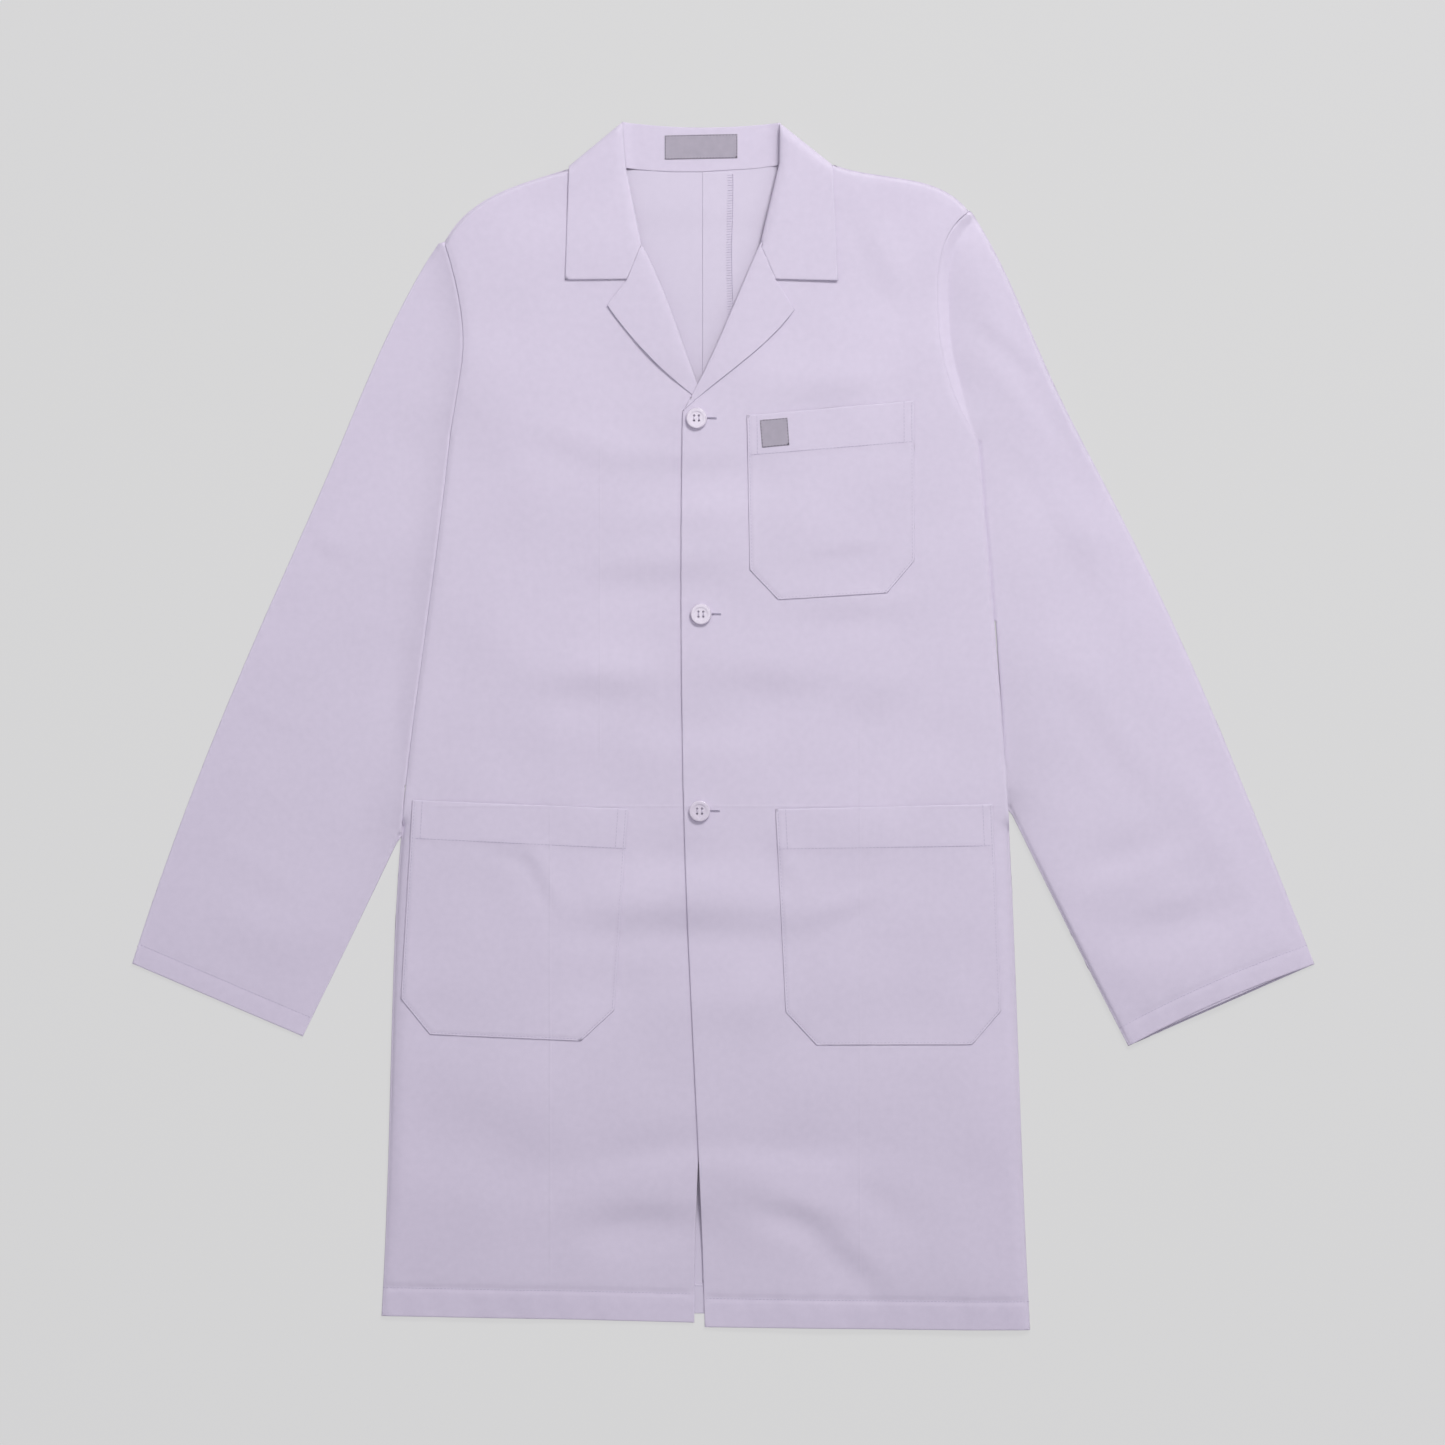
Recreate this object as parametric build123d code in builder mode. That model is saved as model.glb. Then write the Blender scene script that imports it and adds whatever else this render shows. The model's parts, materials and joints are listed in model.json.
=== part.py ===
"""Lab coat laid flat on its back, front up, built as its separate cloth pieces, trims and buttons.

X runs across the coat, towards the wearer's left, +Y towards the collar and +Z up off the table.
Left and right are the wearer's. Outlines are drawn from the centre-back line, at mid length.
Sizes are in millimetres.
"""

from build123d import *
import os

# --- Driving dimensions -------------------------------------------------------------------
CENTRE_BACK_X = -17.3  # the sleeves spread unevenly, so the back seam is off the middle
MID_LENGTH_Y = 0.3
CLOTH = 1.0  # one cloth layer with its loft
LAYER_GAP = 0.3  # between layers of pieces that move apart
BODY_DEPTH = 6.4  # air between back and front
FACING = 0.35
INTERLINING = 0.25
TURNED_LAYER = 0.6  # each of the two layers of a lapel, collar leaf or hem
POCKET_DEPTH = 4.8  # air inside a patch pocket
POCKET_HEM = 0.6  # second layer of a pocket's top hem
LABEL = 0.3
SEAM_GAP = 0.15  # each side of a fold line, between the moving and the still cloth
COLLAR_FALL = 0.9  # back part of the collar, folded down behind the coat
FALL_MIDDLE = (-1.5, 476.0)
FALL_WIDTH = 231.0
FALL_LENGTH = 85.0
FALL_COVER = 3.0  # how far the back lies over the turned-down collar on each side

BUTTON_DIAMETER = 18.0
BUTTON_THICKNESS = 2.8
BUTTON_RECESS_DIAMETER = 12.0
BUTTON_RECESS_DEPTH = 0.7
BUTTON_EDGE_ROUND = 1.1
BUTTON_HOLE_RADIUS = 0.95
BUTTON_HOLE_SPACING = 4.2
BUTTON_CLEARANCE = 0.5  # under the button, above the cloth it closes over
SHANK_RADIUS = 1.6
SHANK_GAP = 0.1
THREAD_RADIUS = 0.5
BUTTONHOLE_LENGTH = 27.4
BUTTONHOLE_WIDTH = 20.6
BUTTONHOLE_OFFSET = 3.4  # buttonhole's middle, beyond the button's centre
BUTTONHOLE_BORDER = 1.0  # overcast thread around the buttonhole
BUTTONS = [(-5.5, 261.9), (-1.8, 94.8), (-2.9, -73.0)]

BACK_ALLOWANCE_WIDTH = 25.0
HEM_DEPTH = 25.0

# --- Heights of the layers above the table --------------------------------------------------
BACK_TOP = CLOTH
RIGHT_PANEL = BACK_TOP + BODY_DEPTH + FACING + INTERLINING
RIGHT_TOP = RIGHT_PANEL + CLOTH
LEFT_FACING = RIGHT_TOP + LAYER_GAP
LEFT_PANEL = LEFT_FACING + FACING + INTERLINING
LEFT_TOP = LEFT_PANEL + CLOTH
BUTTON_BOTTOM = LEFT_TOP + BUTTON_CLEARANCE

# --- Fold lines, from the neck point to the hem and from the shoulder to the underarm side ----
LEFT_FOLD = [(111.7, 478.9), (269.0, -516.6)]
RIGHT_FOLD = [(-115.2, 475.5), (-264.5, -505.5)]
LEFT_SLEEVE_FOLD = [(229.5, 438.0), (260.3, -69.6)]
RIGHT_SLEEVE_FOLD = [(-226.0, 411.5), (-257.9, -93.5)]
REACH = 700.0  # further than any piece


def straight(*points):
    """Straight edges through corner points."""
    return (Polyline, points)


def curved(*points):
    """A smooth edge through points."""
    return (Spline, points)


# --- Edges shared by neighbouring pieces ----------------------------------------------------
LEFT_SHOULDER = curved((111.7, 478.9), (166.1, 467.8), (209.8, 454.4), (227.2, 438.6))
LEFT_ARMHOLE = curved((227.2, 438.6), (211.0, 421.4), (200.1, 359.5), (208.1, 298.6), (235.7, 241.7))
LEFT_SIDE = curved((235.7, 241.7), (248.7, 90.2), (260.3, -69.6), (269.5, -285.2), (279.4, -516.6))
LEFT_FRONT_HEM = straight((279.4, -516.6), (223.9, -516.6), (1.4, -514.2))
LEFT_FRONT_EDGE = curved((1.4, -514.2), (-3.7, -371.6), (-14.1, -149.0), (-18.8, 107.0), (-17.5, 267.5))
LEFT_ROLL = curved((-17.5, 267.5), (-2.0, 296.3), (24.7, 355.2), (48.6, 410.7))
LEFT_NECKLINE = curved((48.6, 410.7), (78.0, 444.0), (111.7, 478.9))
LEFT_BACK_NECK = curved((0.0, 474.9), (64.8, 478.2), (111.7, 478.9))
LEFT_BACK_HEM = curved((279.4, -516.6), (140.0, -508.0), (0.0, -502.7))

RIGHT_SHOULDER = curved((-115.2, 475.5), (-151.8, 463.9), (-190.3, 446.2), (-220.9, 412.5))
RIGHT_ARMHOLE = curved((-220.9, 412.5), (-206.4, 351.8), (-204.7, 326.2), (-209.6, 284.4), (-216.0, 245.7))
RIGHT_SIDE = curved((-216.0, 245.7), (-235.4, 89.9), (-257.9, -93.5), (-266.6, -285.4), (-274.7, -504.6))
RIGHT_FRONT_HEM = straight((-274.7, -504.6), (-109.2, -507.7), (-7.5, -510.4))
RIGHT_FRONT_EDGE = curved((-7.5, -510.4), (-4.0, -369.9), (6.0, -200.0), (11.5, -40.0), (11.5, 250.0))
RIGHT_ROLL = curved((11.5, 250.0), (-4.8, 290.7), (-32.4, 366.8), (-52.4, 410.7))
RIGHT_NECKLINE = curved((-52.4, 410.7), (-82.0, 440.0), (-115.2, 475.5))
RIGHT_BACK_NECK = curved((0.0, 474.9), (-65.7, 475.2), (-115.2, 475.5))
RIGHT_BACK_HEM = curved((-274.7, -504.6), (-140.0, -503.0), (0.0, -502.7))
CENTRE_BACK = straight((0.0, -502.7), (0.0, 474.9))

# --- Outlines -------------------------------------------------------------------------------
LEFT_FRONT = [
    LEFT_SHOULDER, LEFT_ARMHOLE, LEFT_SIDE, LEFT_FRONT_HEM, LEFT_FRONT_EDGE, LEFT_ROLL, LEFT_NECKLINE,
]
RIGHT_FRONT = [
    RIGHT_SHOULDER, RIGHT_ARMHOLE, RIGHT_SIDE, RIGHT_FRONT_HEM,
    RIGHT_FRONT_EDGE, RIGHT_ROLL, RIGHT_NECKLINE,
]
LEFT_BACK = [LEFT_BACK_NECK, LEFT_SHOULDER, LEFT_ARMHOLE, LEFT_SIDE, LEFT_BACK_HEM, CENTRE_BACK]
RIGHT_BACK = [RIGHT_BACK_NECK, RIGHT_SHOULDER, RIGHT_ARMHOLE, RIGHT_SIDE, RIGHT_BACK_HEM, CENTRE_BACK]
LEFT_FACING_OUTLINE = [
    LEFT_FRONT_EDGE, LEFT_ROLL, straight((48.6, 410.7), (100.0, 466.0)),
    curved((100.0, 466.0), (80.0, 330.0), (58.0, 120.0), (56.0, -514.4)),
    straight((56.0, -514.4), (1.4, -514.2)),
]
RIGHT_FACING_OUTLINE = [
    RIGHT_FRONT_EDGE, RIGHT_ROLL, straight((-52.4, 410.7), (-104.0, 463.0)),
    curved((-104.0, 463.0), (-84.0, 330.0), (-56.0, 120.0), (-60.0, -509.0)),
    straight((-60.0, -509.0), (-7.5, -510.4)),
]
LEFT_LAPEL = [
    LEFT_ROLL, straight((48.6, 410.7), (61.8, 380.2), (78.0, 354.4)),
    curved((78.0, 354.4), (51.2, 324.9), (9.4, 290.7), (-17.5, 267.5)),
]
RIGHT_LAPEL = [
    curved((-11.0, 283.5), (-33.4, 366.8), (-52.4, 410.7)),
    straight((-52.4, 410.7), (-64.8, 380.5), (-81.9, 358.3)),
    curved((-81.9, 358.3), (-64.0, 334.7), (-11.0, 283.5)),
]
LEFT_COLLAR_LEAF = [
    straight((64.6, 478.2), (110.8, 478.2), (115.2, 379.1), (61.8, 380.2), (48.6, 410.7), (64.6, 478.2)),
]
RIGHT_COLLAR_LEAF = [
    straight(
        (-65.0, 474.7), (-114.4, 474.7), (-117.7, 379.9), (-64.8, 380.5), (-52.4, 410.7), (-65.0, 474.7),
    ),
]
LEFT_COLLAR_TURN = [straight((64.8, 479.2), (110.5, 479.2), (65.3, 515.1), (64.8, 479.2))]
RIGHT_COLLAR_TURN = [
    straight((-65.7, 476.0), (-114.6, 476.0), (-114.6, 478.2), (-68.7, 516.0), (-65.7, 476.0)),
]
COLLAR_TOP = curved((-67.5, 515.6), (-30.0, 511.8), (30.0, 511.8), (64.5, 514.9))
COLLAR_FALL_OUTLINE = [
    COLLAR_TOP,
    straight((64.5, 514.9), (110.5, 479.5), (113.0, 440.0)),
    curved((113.0, 440.0), (0.0, 434.0), (-116.0, 440.0)),
    straight((-116.0, 440.0), (-114.6, 478.4), (-67.5, 515.6)),
]
COLLAR_STAND_OUTLINE = [
    COLLAR_TOP,
    straight((64.5, 514.9), (63.6, 480.2)),
    curved((63.6, 480.2), (0.0, 474.9), (-64.6, 477.8)),
    straight((-64.6, 477.8), (-67.5, 515.6)),
]
NECK_LABEL = [straight((-32.8, 483.3), (29.4, 484.6), (29.4, 505.4), (-32.8, 504.2), (-32.8, 483.3))]

CHEST_POCKET = [
    (37.4, 264.3), (39.7, 132.7), (64.0, 107.1), (156.9, 112.9), (180.4, 140.6), (179.7, 276.7),
]
CHEST_BAND = [(37.4, 264.3), (41.0, 229.4), (180.4, 240.9), (179.7, 276.7)]
CHEST_LABEL = [(48.3, 260.2), (50.3, 236.6), (73.6, 238.8), (72.0, 262.2)]
LEFT_POCKET = [
    (61.8, -71.3), (70.4, -244.0), (96.6, -272.5), (229.4, -272.2), (254.2, -243.3), (246.8, -66.9),
]
LEFT_BAND = [(61.8, -71.3), (63.8, -106.5), (248.4, -103.5), (246.8, -66.9)]
RIGHT_POCKET = [
    (-64.0, -71.0), (-75.7, -242.9), (-104.2, -269.2), (-233.0, -263.7), (-257.8, -233.0), (-247.8, -63.6),
]
RIGHT_BAND = [(-64.0, -71.0), (-66.5, -106.1), (-249.8, -97.2), (-247.8, -63.6)]

LEFT_SLEEVE_OUTER = curved(
    (230.0, 438.2), (260.5, 381.9), (299.3, 292.5), (337.8, 216.6),
    (400.5, 90.2), (459.6, -46.6), (522.5, -204.1),
)
LEFT_SLEEVE_INNER = curved((363.4, -274.1), (327.3, -203.8), (292.2, -133.6), (260.8, -69.6))
LEFT_SLEEVE_ROOT = straight((260.8, -69.6), (230.0, 438.2))
RIGHT_SLEEVE_OUTER = curved(
    (-226.6, 411.8), (-257.7, 358.0), (-315.6, 226.4), (-375.8, 89.9), (-487.9, -203.5),
)
RIGHT_SLEEVE_INNER = curved((-342.1, -265.8), (-299.0, -177.8), (-258.4, -93.5))
RIGHT_SLEEVE_ROOT = straight((-258.4, -93.5), (-226.6, 411.8))
LEFT_UNDER_CUFF = straight((522.5, -204.1), (363.4, -274.1))
LEFT_TOP_CUFF = curved((522.5, -204.1), (441.5, -235.2), (363.4, -274.1))
RIGHT_CUFF = straight((-487.9, -203.5), (-342.1, -265.8))
LEFT_CUFF_HEM = [(519.0, -203.0), (366.0, -270.5), (358.0, -253.0), (511.0, -187.0)]
RIGHT_CUFF_HEM = [(-484.5, -203.0), (-344.0, -262.5), (-336.5, -246.0), (-477.5, -186.0)]
# The sleeve caps reach in under the body's outline, which is taken out of them.
LEFT_CAP = [(229.5, 438.0), (250.6, 90.2), (230.0, 90.2), (190.0, 300.0), (190.0, 400.0), (227.2, 438.6)]
RIGHT_CAP = [
    (-226.0, 411.5), (-255.2, -50.0), (-240.0, -50.0), (-195.0, 240.0), (-195.0, 400.0), (-220.9, 412.5),
]

BACK_ALLOWANCE = [
    (0.3, 429.0), (0.3, -476.0), (BACK_ALLOWANCE_WIDTH, -476.0), (BACK_ALLOWANCE_WIDTH, 429.0),
]
BACK_HEM = [
    curved((262.0, -513.5), (140.0, -508.0), (0.0, -502.7), (-140.0, -503.0), (-262.0, -504.0)),
    straight((-262.0, -504.0), (-262.0, -504.0 + HEM_DEPTH)),
    curved((-262.0, -504.0 + HEM_DEPTH), (0.0, -502.7 + HEM_DEPTH), (262.0, -513.5 + HEM_DEPTH)),
    straight((262.0, -513.5 + HEM_DEPTH), (262.0, -513.5)),
]
LEFT_HEM = [(57.0, -514.5), (262.0, -515.8), (262.0, -515.8 + HEM_DEPTH), (57.0, -514.5 + HEM_DEPTH)]
RIGHT_HEM = [(-61.0, -508.6), (-258.0, -504.8), (-258.0, -504.8 + HEM_DEPTH), (-61.0, -508.6 + HEM_DEPTH)]


def level(height):
    """Working plane at a height above the table, with its origin on the centre-back line."""
    return Plane((CENTRE_BACK_X, MID_LENGTH_Y, height))


def closed(corners):
    """Closed outline through corner points."""
    return [straight(*corners, corners[0])]


def beside(fold, outward):
    """Everything on one side of a fold line: outward is 1 towards +X and -1 towards -X."""
    (top_x, top_y), (foot_x, foot_y) = fold
    slope = (foot_x - top_x) / (foot_y - top_y)
    near_top = (top_x + slope * REACH + outward * SEAM_GAP, top_y + REACH)
    near_foot = (foot_x - slope * REACH + outward * SEAM_GAP, foot_y - REACH)
    far = outward * 2 * REACH
    far_foot = (near_foot[0] + far, near_foot[1])
    far_top = (near_top[0] + far, near_top[1])
    return closed([near_top, near_foot, far_foot, far_top])


LEFT_FLAP = beside(LEFT_FOLD, -1)
LEFT_STILL = beside(LEFT_FOLD, 1)
RIGHT_FLAP = beside(RIGHT_FOLD, 1)
RIGHT_STILL = beside(RIGHT_FOLD, -1)


def cloth_piece(
    name, outline, bottom, top, within=None, without=(),
    walls=(), wall_bottom=0.0, wall_top=0.0, buttonholes=False,
):
    """One flat piece between two heights, kept within or without other outlines, with walled edges."""
    with BuildPart() as cloth:
        with BuildSketch(level(bottom)):
            with BuildLine():
                for draw, points in outline:
                    draw(*points)
            make_face()
            if within:
                with BuildLine():
                    for draw, points in within:
                        draw(*points)
                make_face(mode=Mode.INTERSECT)
            for other in without:
                with BuildLine():
                    for draw, points in other:
                        draw(*points)
                make_face(mode=Mode.SUBTRACT)
            if buttonholes:
                with Locations(*[(x + BUTTONHOLE_OFFSET, y) for x, y in BUTTONS]):
                    SlotOverall(BUTTONHOLE_LENGTH, BUTTONHOLE_WIDTH, mode=Mode.SUBTRACT)
        extrude(amount=top - bottom)
        for wall in walls:
            with BuildSketch(level(wall_bottom)):
                with BuildLine():
                    for draw, points in wall:
                        draw(*points)
                trace(line_width=2 * CLOTH)
                with BuildLine():
                    for draw, points in outline:
                        draw(*points)
                make_face(mode=Mode.INTERSECT)
                if within:
                    with BuildLine():
                        for draw, points in within:
                            draw(*points)
                    make_face(mode=Mode.INTERSECT)
            extrude(amount=wall_top - wall_bottom)
    cloth.part.label = name
    export_step(cloth.part, f"parts/{name}.step")
    return cloth


def back_panel(name, outline, shoulder, side, seam_top):
    """Half of the back, turned up at shoulder and side seams, and lifted over the turned-down collar."""
    with BuildPart() as back:
        with BuildSketch(level(0)):
            with BuildLine():
                for draw, points in outline:
                    draw(*points)
            make_face()
            with Locations(FALL_MIDDLE):
                Rectangle(FALL_WIDTH, FALL_LENGTH, mode=Mode.SUBTRACT)
        extrude(amount=CLOTH)
        with BuildSketch(level(BACK_TOP)):
            with BuildLine():
                for draw, points in outline:
                    draw(*points)
            make_face()
            with Locations(FALL_MIDDLE):
                cover_width = FALL_WIDTH + 2 * FALL_COVER
                cover_length = FALL_LENGTH + 2 * FALL_COVER
                Rectangle(cover_width, cover_length, mode=Mode.INTERSECT)
        extrude(amount=CLOTH)
        for seam in (shoulder, side):
            with BuildSketch(level(BACK_TOP)):
                draw, points = seam
                with BuildLine():
                    draw(*points)
                trace(line_width=2 * CLOTH)
                with BuildLine():
                    for draw, points in outline:
                        draw(*points)
                make_face(mode=Mode.INTERSECT)
            extrude(amount=seam_top - BACK_TOP)
    back.part.label = name
    export_step(back.part, f"parts/{name}.step")


def pocket(name, corners, band, cloth_top, flap, still):
    """A patch pocket open at its top edge, with its hemmed band, in two parts if a fold line crosses it."""
    plate = cloth_top + POCKET_DEPTH
    plate_top = plate + CLOTH
    sewn_edges = [[straight(*corners)]]
    for part_name, region in ((name, flap), (f"{name}_side", still)):
        cloth_piece(
            part_name, closed(corners), plate, plate_top, region,
            walls=sewn_edges, wall_bottom=cloth_top, wall_top=plate,
        )
    cloth_piece(f"{name}_band", closed(band), plate_top, plate_top + POCKET_HEM, flap)


def cuff_hem(name, strip, top_level):
    """The turned hem inside a sleeve's mouth: one strip on the under layer, one below the top layer."""
    with BuildPart() as hem:
        for bottom in (BACK_TOP, top_level - TURNED_LAYER):
            with BuildSketch(level(bottom)):
                with BuildLine():
                    Polyline(*strip, close=True)
                make_face()
            extrude(amount=TURNED_LAYER)
    hem.part.label = name
    export_step(hem.part, f"parts/{name}.step")


def collar_turn(name, outline, roll, edge, top_level):
    """Where the collar rolls over beside the neck: its top layer, its roll and its outer edge."""
    cloth_piece(
        name, outline, top_level, top_level + 2 * TURNED_LAYER,
        walls=[[roll], [edge]], wall_bottom=COLLAR_FALL + INTERLINING + CLOTH, wall_top=top_level,
    )


os.makedirs("parts", exist_ok=True)

# --- Back ------------------------------------------------------------------------------------
back_panel("left_back_panel", LEFT_BACK, LEFT_SHOULDER, LEFT_SIDE, LEFT_PANEL)
back_panel("right_back_panel", RIGHT_BACK, RIGHT_SHOULDER, RIGHT_SIDE, RIGHT_PANEL)
cloth_piece("centre_back_allowance", closed(BACK_ALLOWANCE), BACK_TOP, BACK_TOP + TURNED_LAYER)
cloth_piece("back_hem", BACK_HEM, BACK_TOP, BACK_TOP + TURNED_LAYER)

# --- Collar behind the neck --------------------------------------------------------------------
stand_bottom = COLLAR_FALL + INTERLINING
cloth_piece("collar_fall", COLLAR_FALL_OUTLINE, 0, COLLAR_FALL)
backs = [LEFT_BACK, RIGHT_BACK]
cloth_piece("collar_interlining", COLLAR_STAND_OUTLINE, COLLAR_FALL, stand_bottom, without=backs)
cloth_piece("collar_stand", COLLAR_STAND_OUTLINE, stand_bottom, stand_bottom + CLOTH, without=backs)
cloth_piece("neck_label", NECK_LABEL, stand_bottom + CLOTH, stand_bottom + CLOTH + LABEL)
collar_turn(
    "left_collar_turn", LEFT_COLLAR_TURN, straight((64.8, 479.2), (65.3, 515.1)),
    straight((110.5, 479.2), (65.3, 515.1)), LEFT_TOP,
)
collar_turn(
    "right_collar_turn", RIGHT_COLLAR_TURN, straight((-65.7, 476.0), (-68.7, 516.0)),
    straight((-114.6, 478.2), (-68.7, 516.0)), RIGHT_TOP,
)

# --- Fronts: the outer part stays, the inner part turns back about the fold line ------------------
cloth_piece("left_front_side", LEFT_FRONT, LEFT_PANEL, LEFT_TOP, LEFT_STILL)
cloth_piece("left_front_panel", LEFT_FRONT, LEFT_PANEL, LEFT_TOP, LEFT_FLAP, buttonholes=True)
left_facing_top = LEFT_FACING + FACING
cloth_piece("left_facing", LEFT_FACING_OUTLINE, LEFT_FACING, left_facing_top, LEFT_FLAP, buttonholes=True)
cloth_piece(
    "left_interlining", LEFT_FACING_OUTLINE, left_facing_top, LEFT_PANEL, LEFT_FLAP, buttonholes=True,
)
cloth_piece("right_front_side", RIGHT_FRONT, RIGHT_PANEL, RIGHT_TOP, RIGHT_STILL)
cloth_piece("right_front_panel", RIGHT_FRONT, RIGHT_PANEL, RIGHT_TOP, RIGHT_FLAP)
right_facing_bottom = RIGHT_PANEL - FACING - INTERLINING
cloth_piece("right_facing", RIGHT_FACING_OUTLINE, right_facing_bottom, right_facing_bottom + FACING)
cloth_piece("right_interlining", RIGHT_FACING_OUTLINE, right_facing_bottom + FACING, RIGHT_PANEL)

# --- Lapels and collar leaves, each an under and an upper layer -----------------------------------
turned_pieces = [
    ("left_lapel_under", "left_lapel_facing", LEFT_LAPEL, LEFT_TOP),
    ("left_under_collar", "left_upper_collar", LEFT_COLLAR_LEAF, LEFT_TOP),
    ("right_lapel_under", "right_lapel_facing", RIGHT_LAPEL, RIGHT_TOP),
    ("right_under_collar", "right_upper_collar", RIGHT_COLLAR_LEAF, RIGHT_TOP),
]
for under_name, upper_name, turned_outline, cloth_top in turned_pieces:
    cloth_piece(under_name, turned_outline, cloth_top, cloth_top + TURNED_LAYER)
    cloth_piece(upper_name, turned_outline, cloth_top + TURNED_LAYER, cloth_top + 2 * TURNED_LAYER)

# --- Front hems, turned up inside -------------------------------------------------------------------
cloth_piece("left_front_hem", closed(LEFT_HEM), LEFT_PANEL - TURNED_LAYER, LEFT_PANEL, LEFT_FLAP)
cloth_piece("right_front_hem", closed(RIGHT_HEM), RIGHT_PANEL - TURNED_LAYER, RIGHT_PANEL, RIGHT_FLAP)

# --- Pockets --------------------------------------------------------------------------------------
pocket("chest_pocket", CHEST_POCKET, CHEST_BAND, LEFT_TOP, LEFT_FLAP, LEFT_STILL)
pocket("left_pocket", LEFT_POCKET, LEFT_BAND, LEFT_TOP, LEFT_FLAP, LEFT_STILL)
pocket("right_pocket", RIGHT_POCKET, RIGHT_BAND, RIGHT_TOP, RIGHT_FLAP, RIGHT_STILL)
label_bottom = LEFT_TOP + POCKET_DEPTH + CLOTH + POCKET_HEM
cloth_piece("chest_pocket_label", closed(CHEST_LABEL), label_bottom, label_bottom + LABEL)

# --- Sleeves ----------------------------------------------------------------------------------------
sleeves = [
    (
        "left", LEFT_SLEEVE_OUTER, LEFT_SLEEVE_INNER, LEFT_SLEEVE_ROOT,
        LEFT_TOP_CUFF, LEFT_UNDER_CUFF, LEFT_PANEL,
    ),
    (
        "right", RIGHT_SLEEVE_OUTER, RIGHT_SLEEVE_INNER, RIGHT_SLEEVE_ROOT,
        RIGHT_CUFF, RIGHT_CUFF, RIGHT_PANEL,
    ),
]
for side, outer, inner, root, top_cuff, under_cuff, panel in sleeves:
    cloth_piece(f"{side}_top_sleeve", [outer, top_cuff, inner, root], panel, panel + CLOTH)
    cloth_piece(
        f"{side}_under_sleeve", [outer, under_cuff, inner, root], 0, CLOTH,
        walls=[[outer], [inner]], wall_bottom=CLOTH, wall_top=panel,
    )
cuff_hem("left_cuff_hem", LEFT_CUFF_HEM, LEFT_PANEL)
cuff_hem("right_cuff_hem", RIGHT_CUFF_HEM, RIGHT_PANEL)
caps = [("left", LEFT_CAP, LEFT_FRONT, LEFT_PANEL), ("right", RIGHT_CAP, RIGHT_FRONT, RIGHT_PANEL)]
for side, cap, body, panel in caps:
    cloth_piece(f"{side}_sleeve_cap_top", closed(cap), panel, panel + CLOTH, without=[body])
    cloth_piece(f"{side}_sleeve_cap_under", closed(cap), 0, CLOTH, without=[body])

# --- Buttons, their thread shanks and the overcast buttonholes -----------------------------------------
for number, (button_x, button_y) in enumerate(BUTTONS, start=1):
    centre = Plane((CENTRE_BACK_X + button_x, MID_LENGTH_Y + button_y, BUTTON_BOTTOM))
    recess_floor = BUTTON_THICKNESS - BUTTON_RECESS_DEPTH

    with BuildPart() as button:
        with BuildSketch(centre):
            Circle(BUTTON_DIAMETER / 2)
        extrude(amount=BUTTON_THICKNESS)
        fillet(button.edges().filter_by(GeomType.CIRCLE), BUTTON_EDGE_ROUND)
        with BuildSketch(centre.offset(recess_floor)):
            Circle(BUTTON_RECESS_DIAMETER / 2)
        extrude(amount=BUTTON_RECESS_DEPTH, mode=Mode.SUBTRACT)
        with BuildSketch(centre):
            with GridLocations(BUTTON_HOLE_SPACING, BUTTON_HOLE_SPACING, 2, 2):
                Circle(BUTTON_HOLE_RADIUS)
        extrude(amount=recess_floor, mode=Mode.SUBTRACT)
    button.part.label = f"button_{number}"
    export_step(button.part, f"parts/button_{number}.step")

    with BuildPart() as thread:
        with BuildSketch(centre):
            with GridLocations(BUTTON_HOLE_SPACING, BUTTON_HOLE_SPACING, 2, 2):
                Circle(THREAD_RADIUS)
        extrude(amount=recess_floor)
        with BuildSketch(centre.offset(recess_floor)):
            with GridLocations(BUTTON_HOLE_SPACING, 0, 2, 1):
                SlotCenterToCenter(BUTTON_HOLE_SPACING, 2 * THREAD_RADIUS, rotation=90)
        extrude(amount=THREAD_RADIUS)
    thread.part.label = f"button_thread_{number}"
    export_step(thread.part, f"parts/button_thread_{number}.step")

with BuildPart() as button_shanks:
    with BuildSketch(level(RIGHT_TOP)):
        with Locations(*BUTTONS):
            Circle(SHANK_RADIUS)
    extrude(amount=BUTTON_BOTTOM - SHANK_GAP - RIGHT_TOP)
button_shanks.part.label = "button_shanks"
export_step(button_shanks.part, "parts/button_shanks.step")

with BuildPart() as buttonhole_stitching:
    with BuildSketch(level(LEFT_TOP)):
        with Locations(*[(x + BUTTONHOLE_OFFSET, y) for x, y in BUTTONS]):
            border_length = BUTTONHOLE_LENGTH + 2 * BUTTONHOLE_BORDER
            border_width = BUTTONHOLE_WIDTH + 2 * BUTTONHOLE_BORDER
            SlotOverall(border_length, border_width)
            SlotOverall(BUTTONHOLE_LENGTH, BUTTONHOLE_WIDTH, mode=Mode.SUBTRACT)
    extrude(amount=LABEL)
buttonhole_stitching.part.label = "buttonhole_stitching"
export_step(buttonhole_stitching.part, "parts/buttonhole_stitching.step")
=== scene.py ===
"""Lab coat laid flat on its back: cloth sheets, seams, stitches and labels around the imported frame.

Lengths are in metres, in the frame's axes: +X towards the wearer's left, +Y towards the collar, +Z up.
"""

import json
import math

import bpy
import numpy as np
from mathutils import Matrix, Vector
from mathutils.geometry import delaunay_2d_cdt


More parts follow.
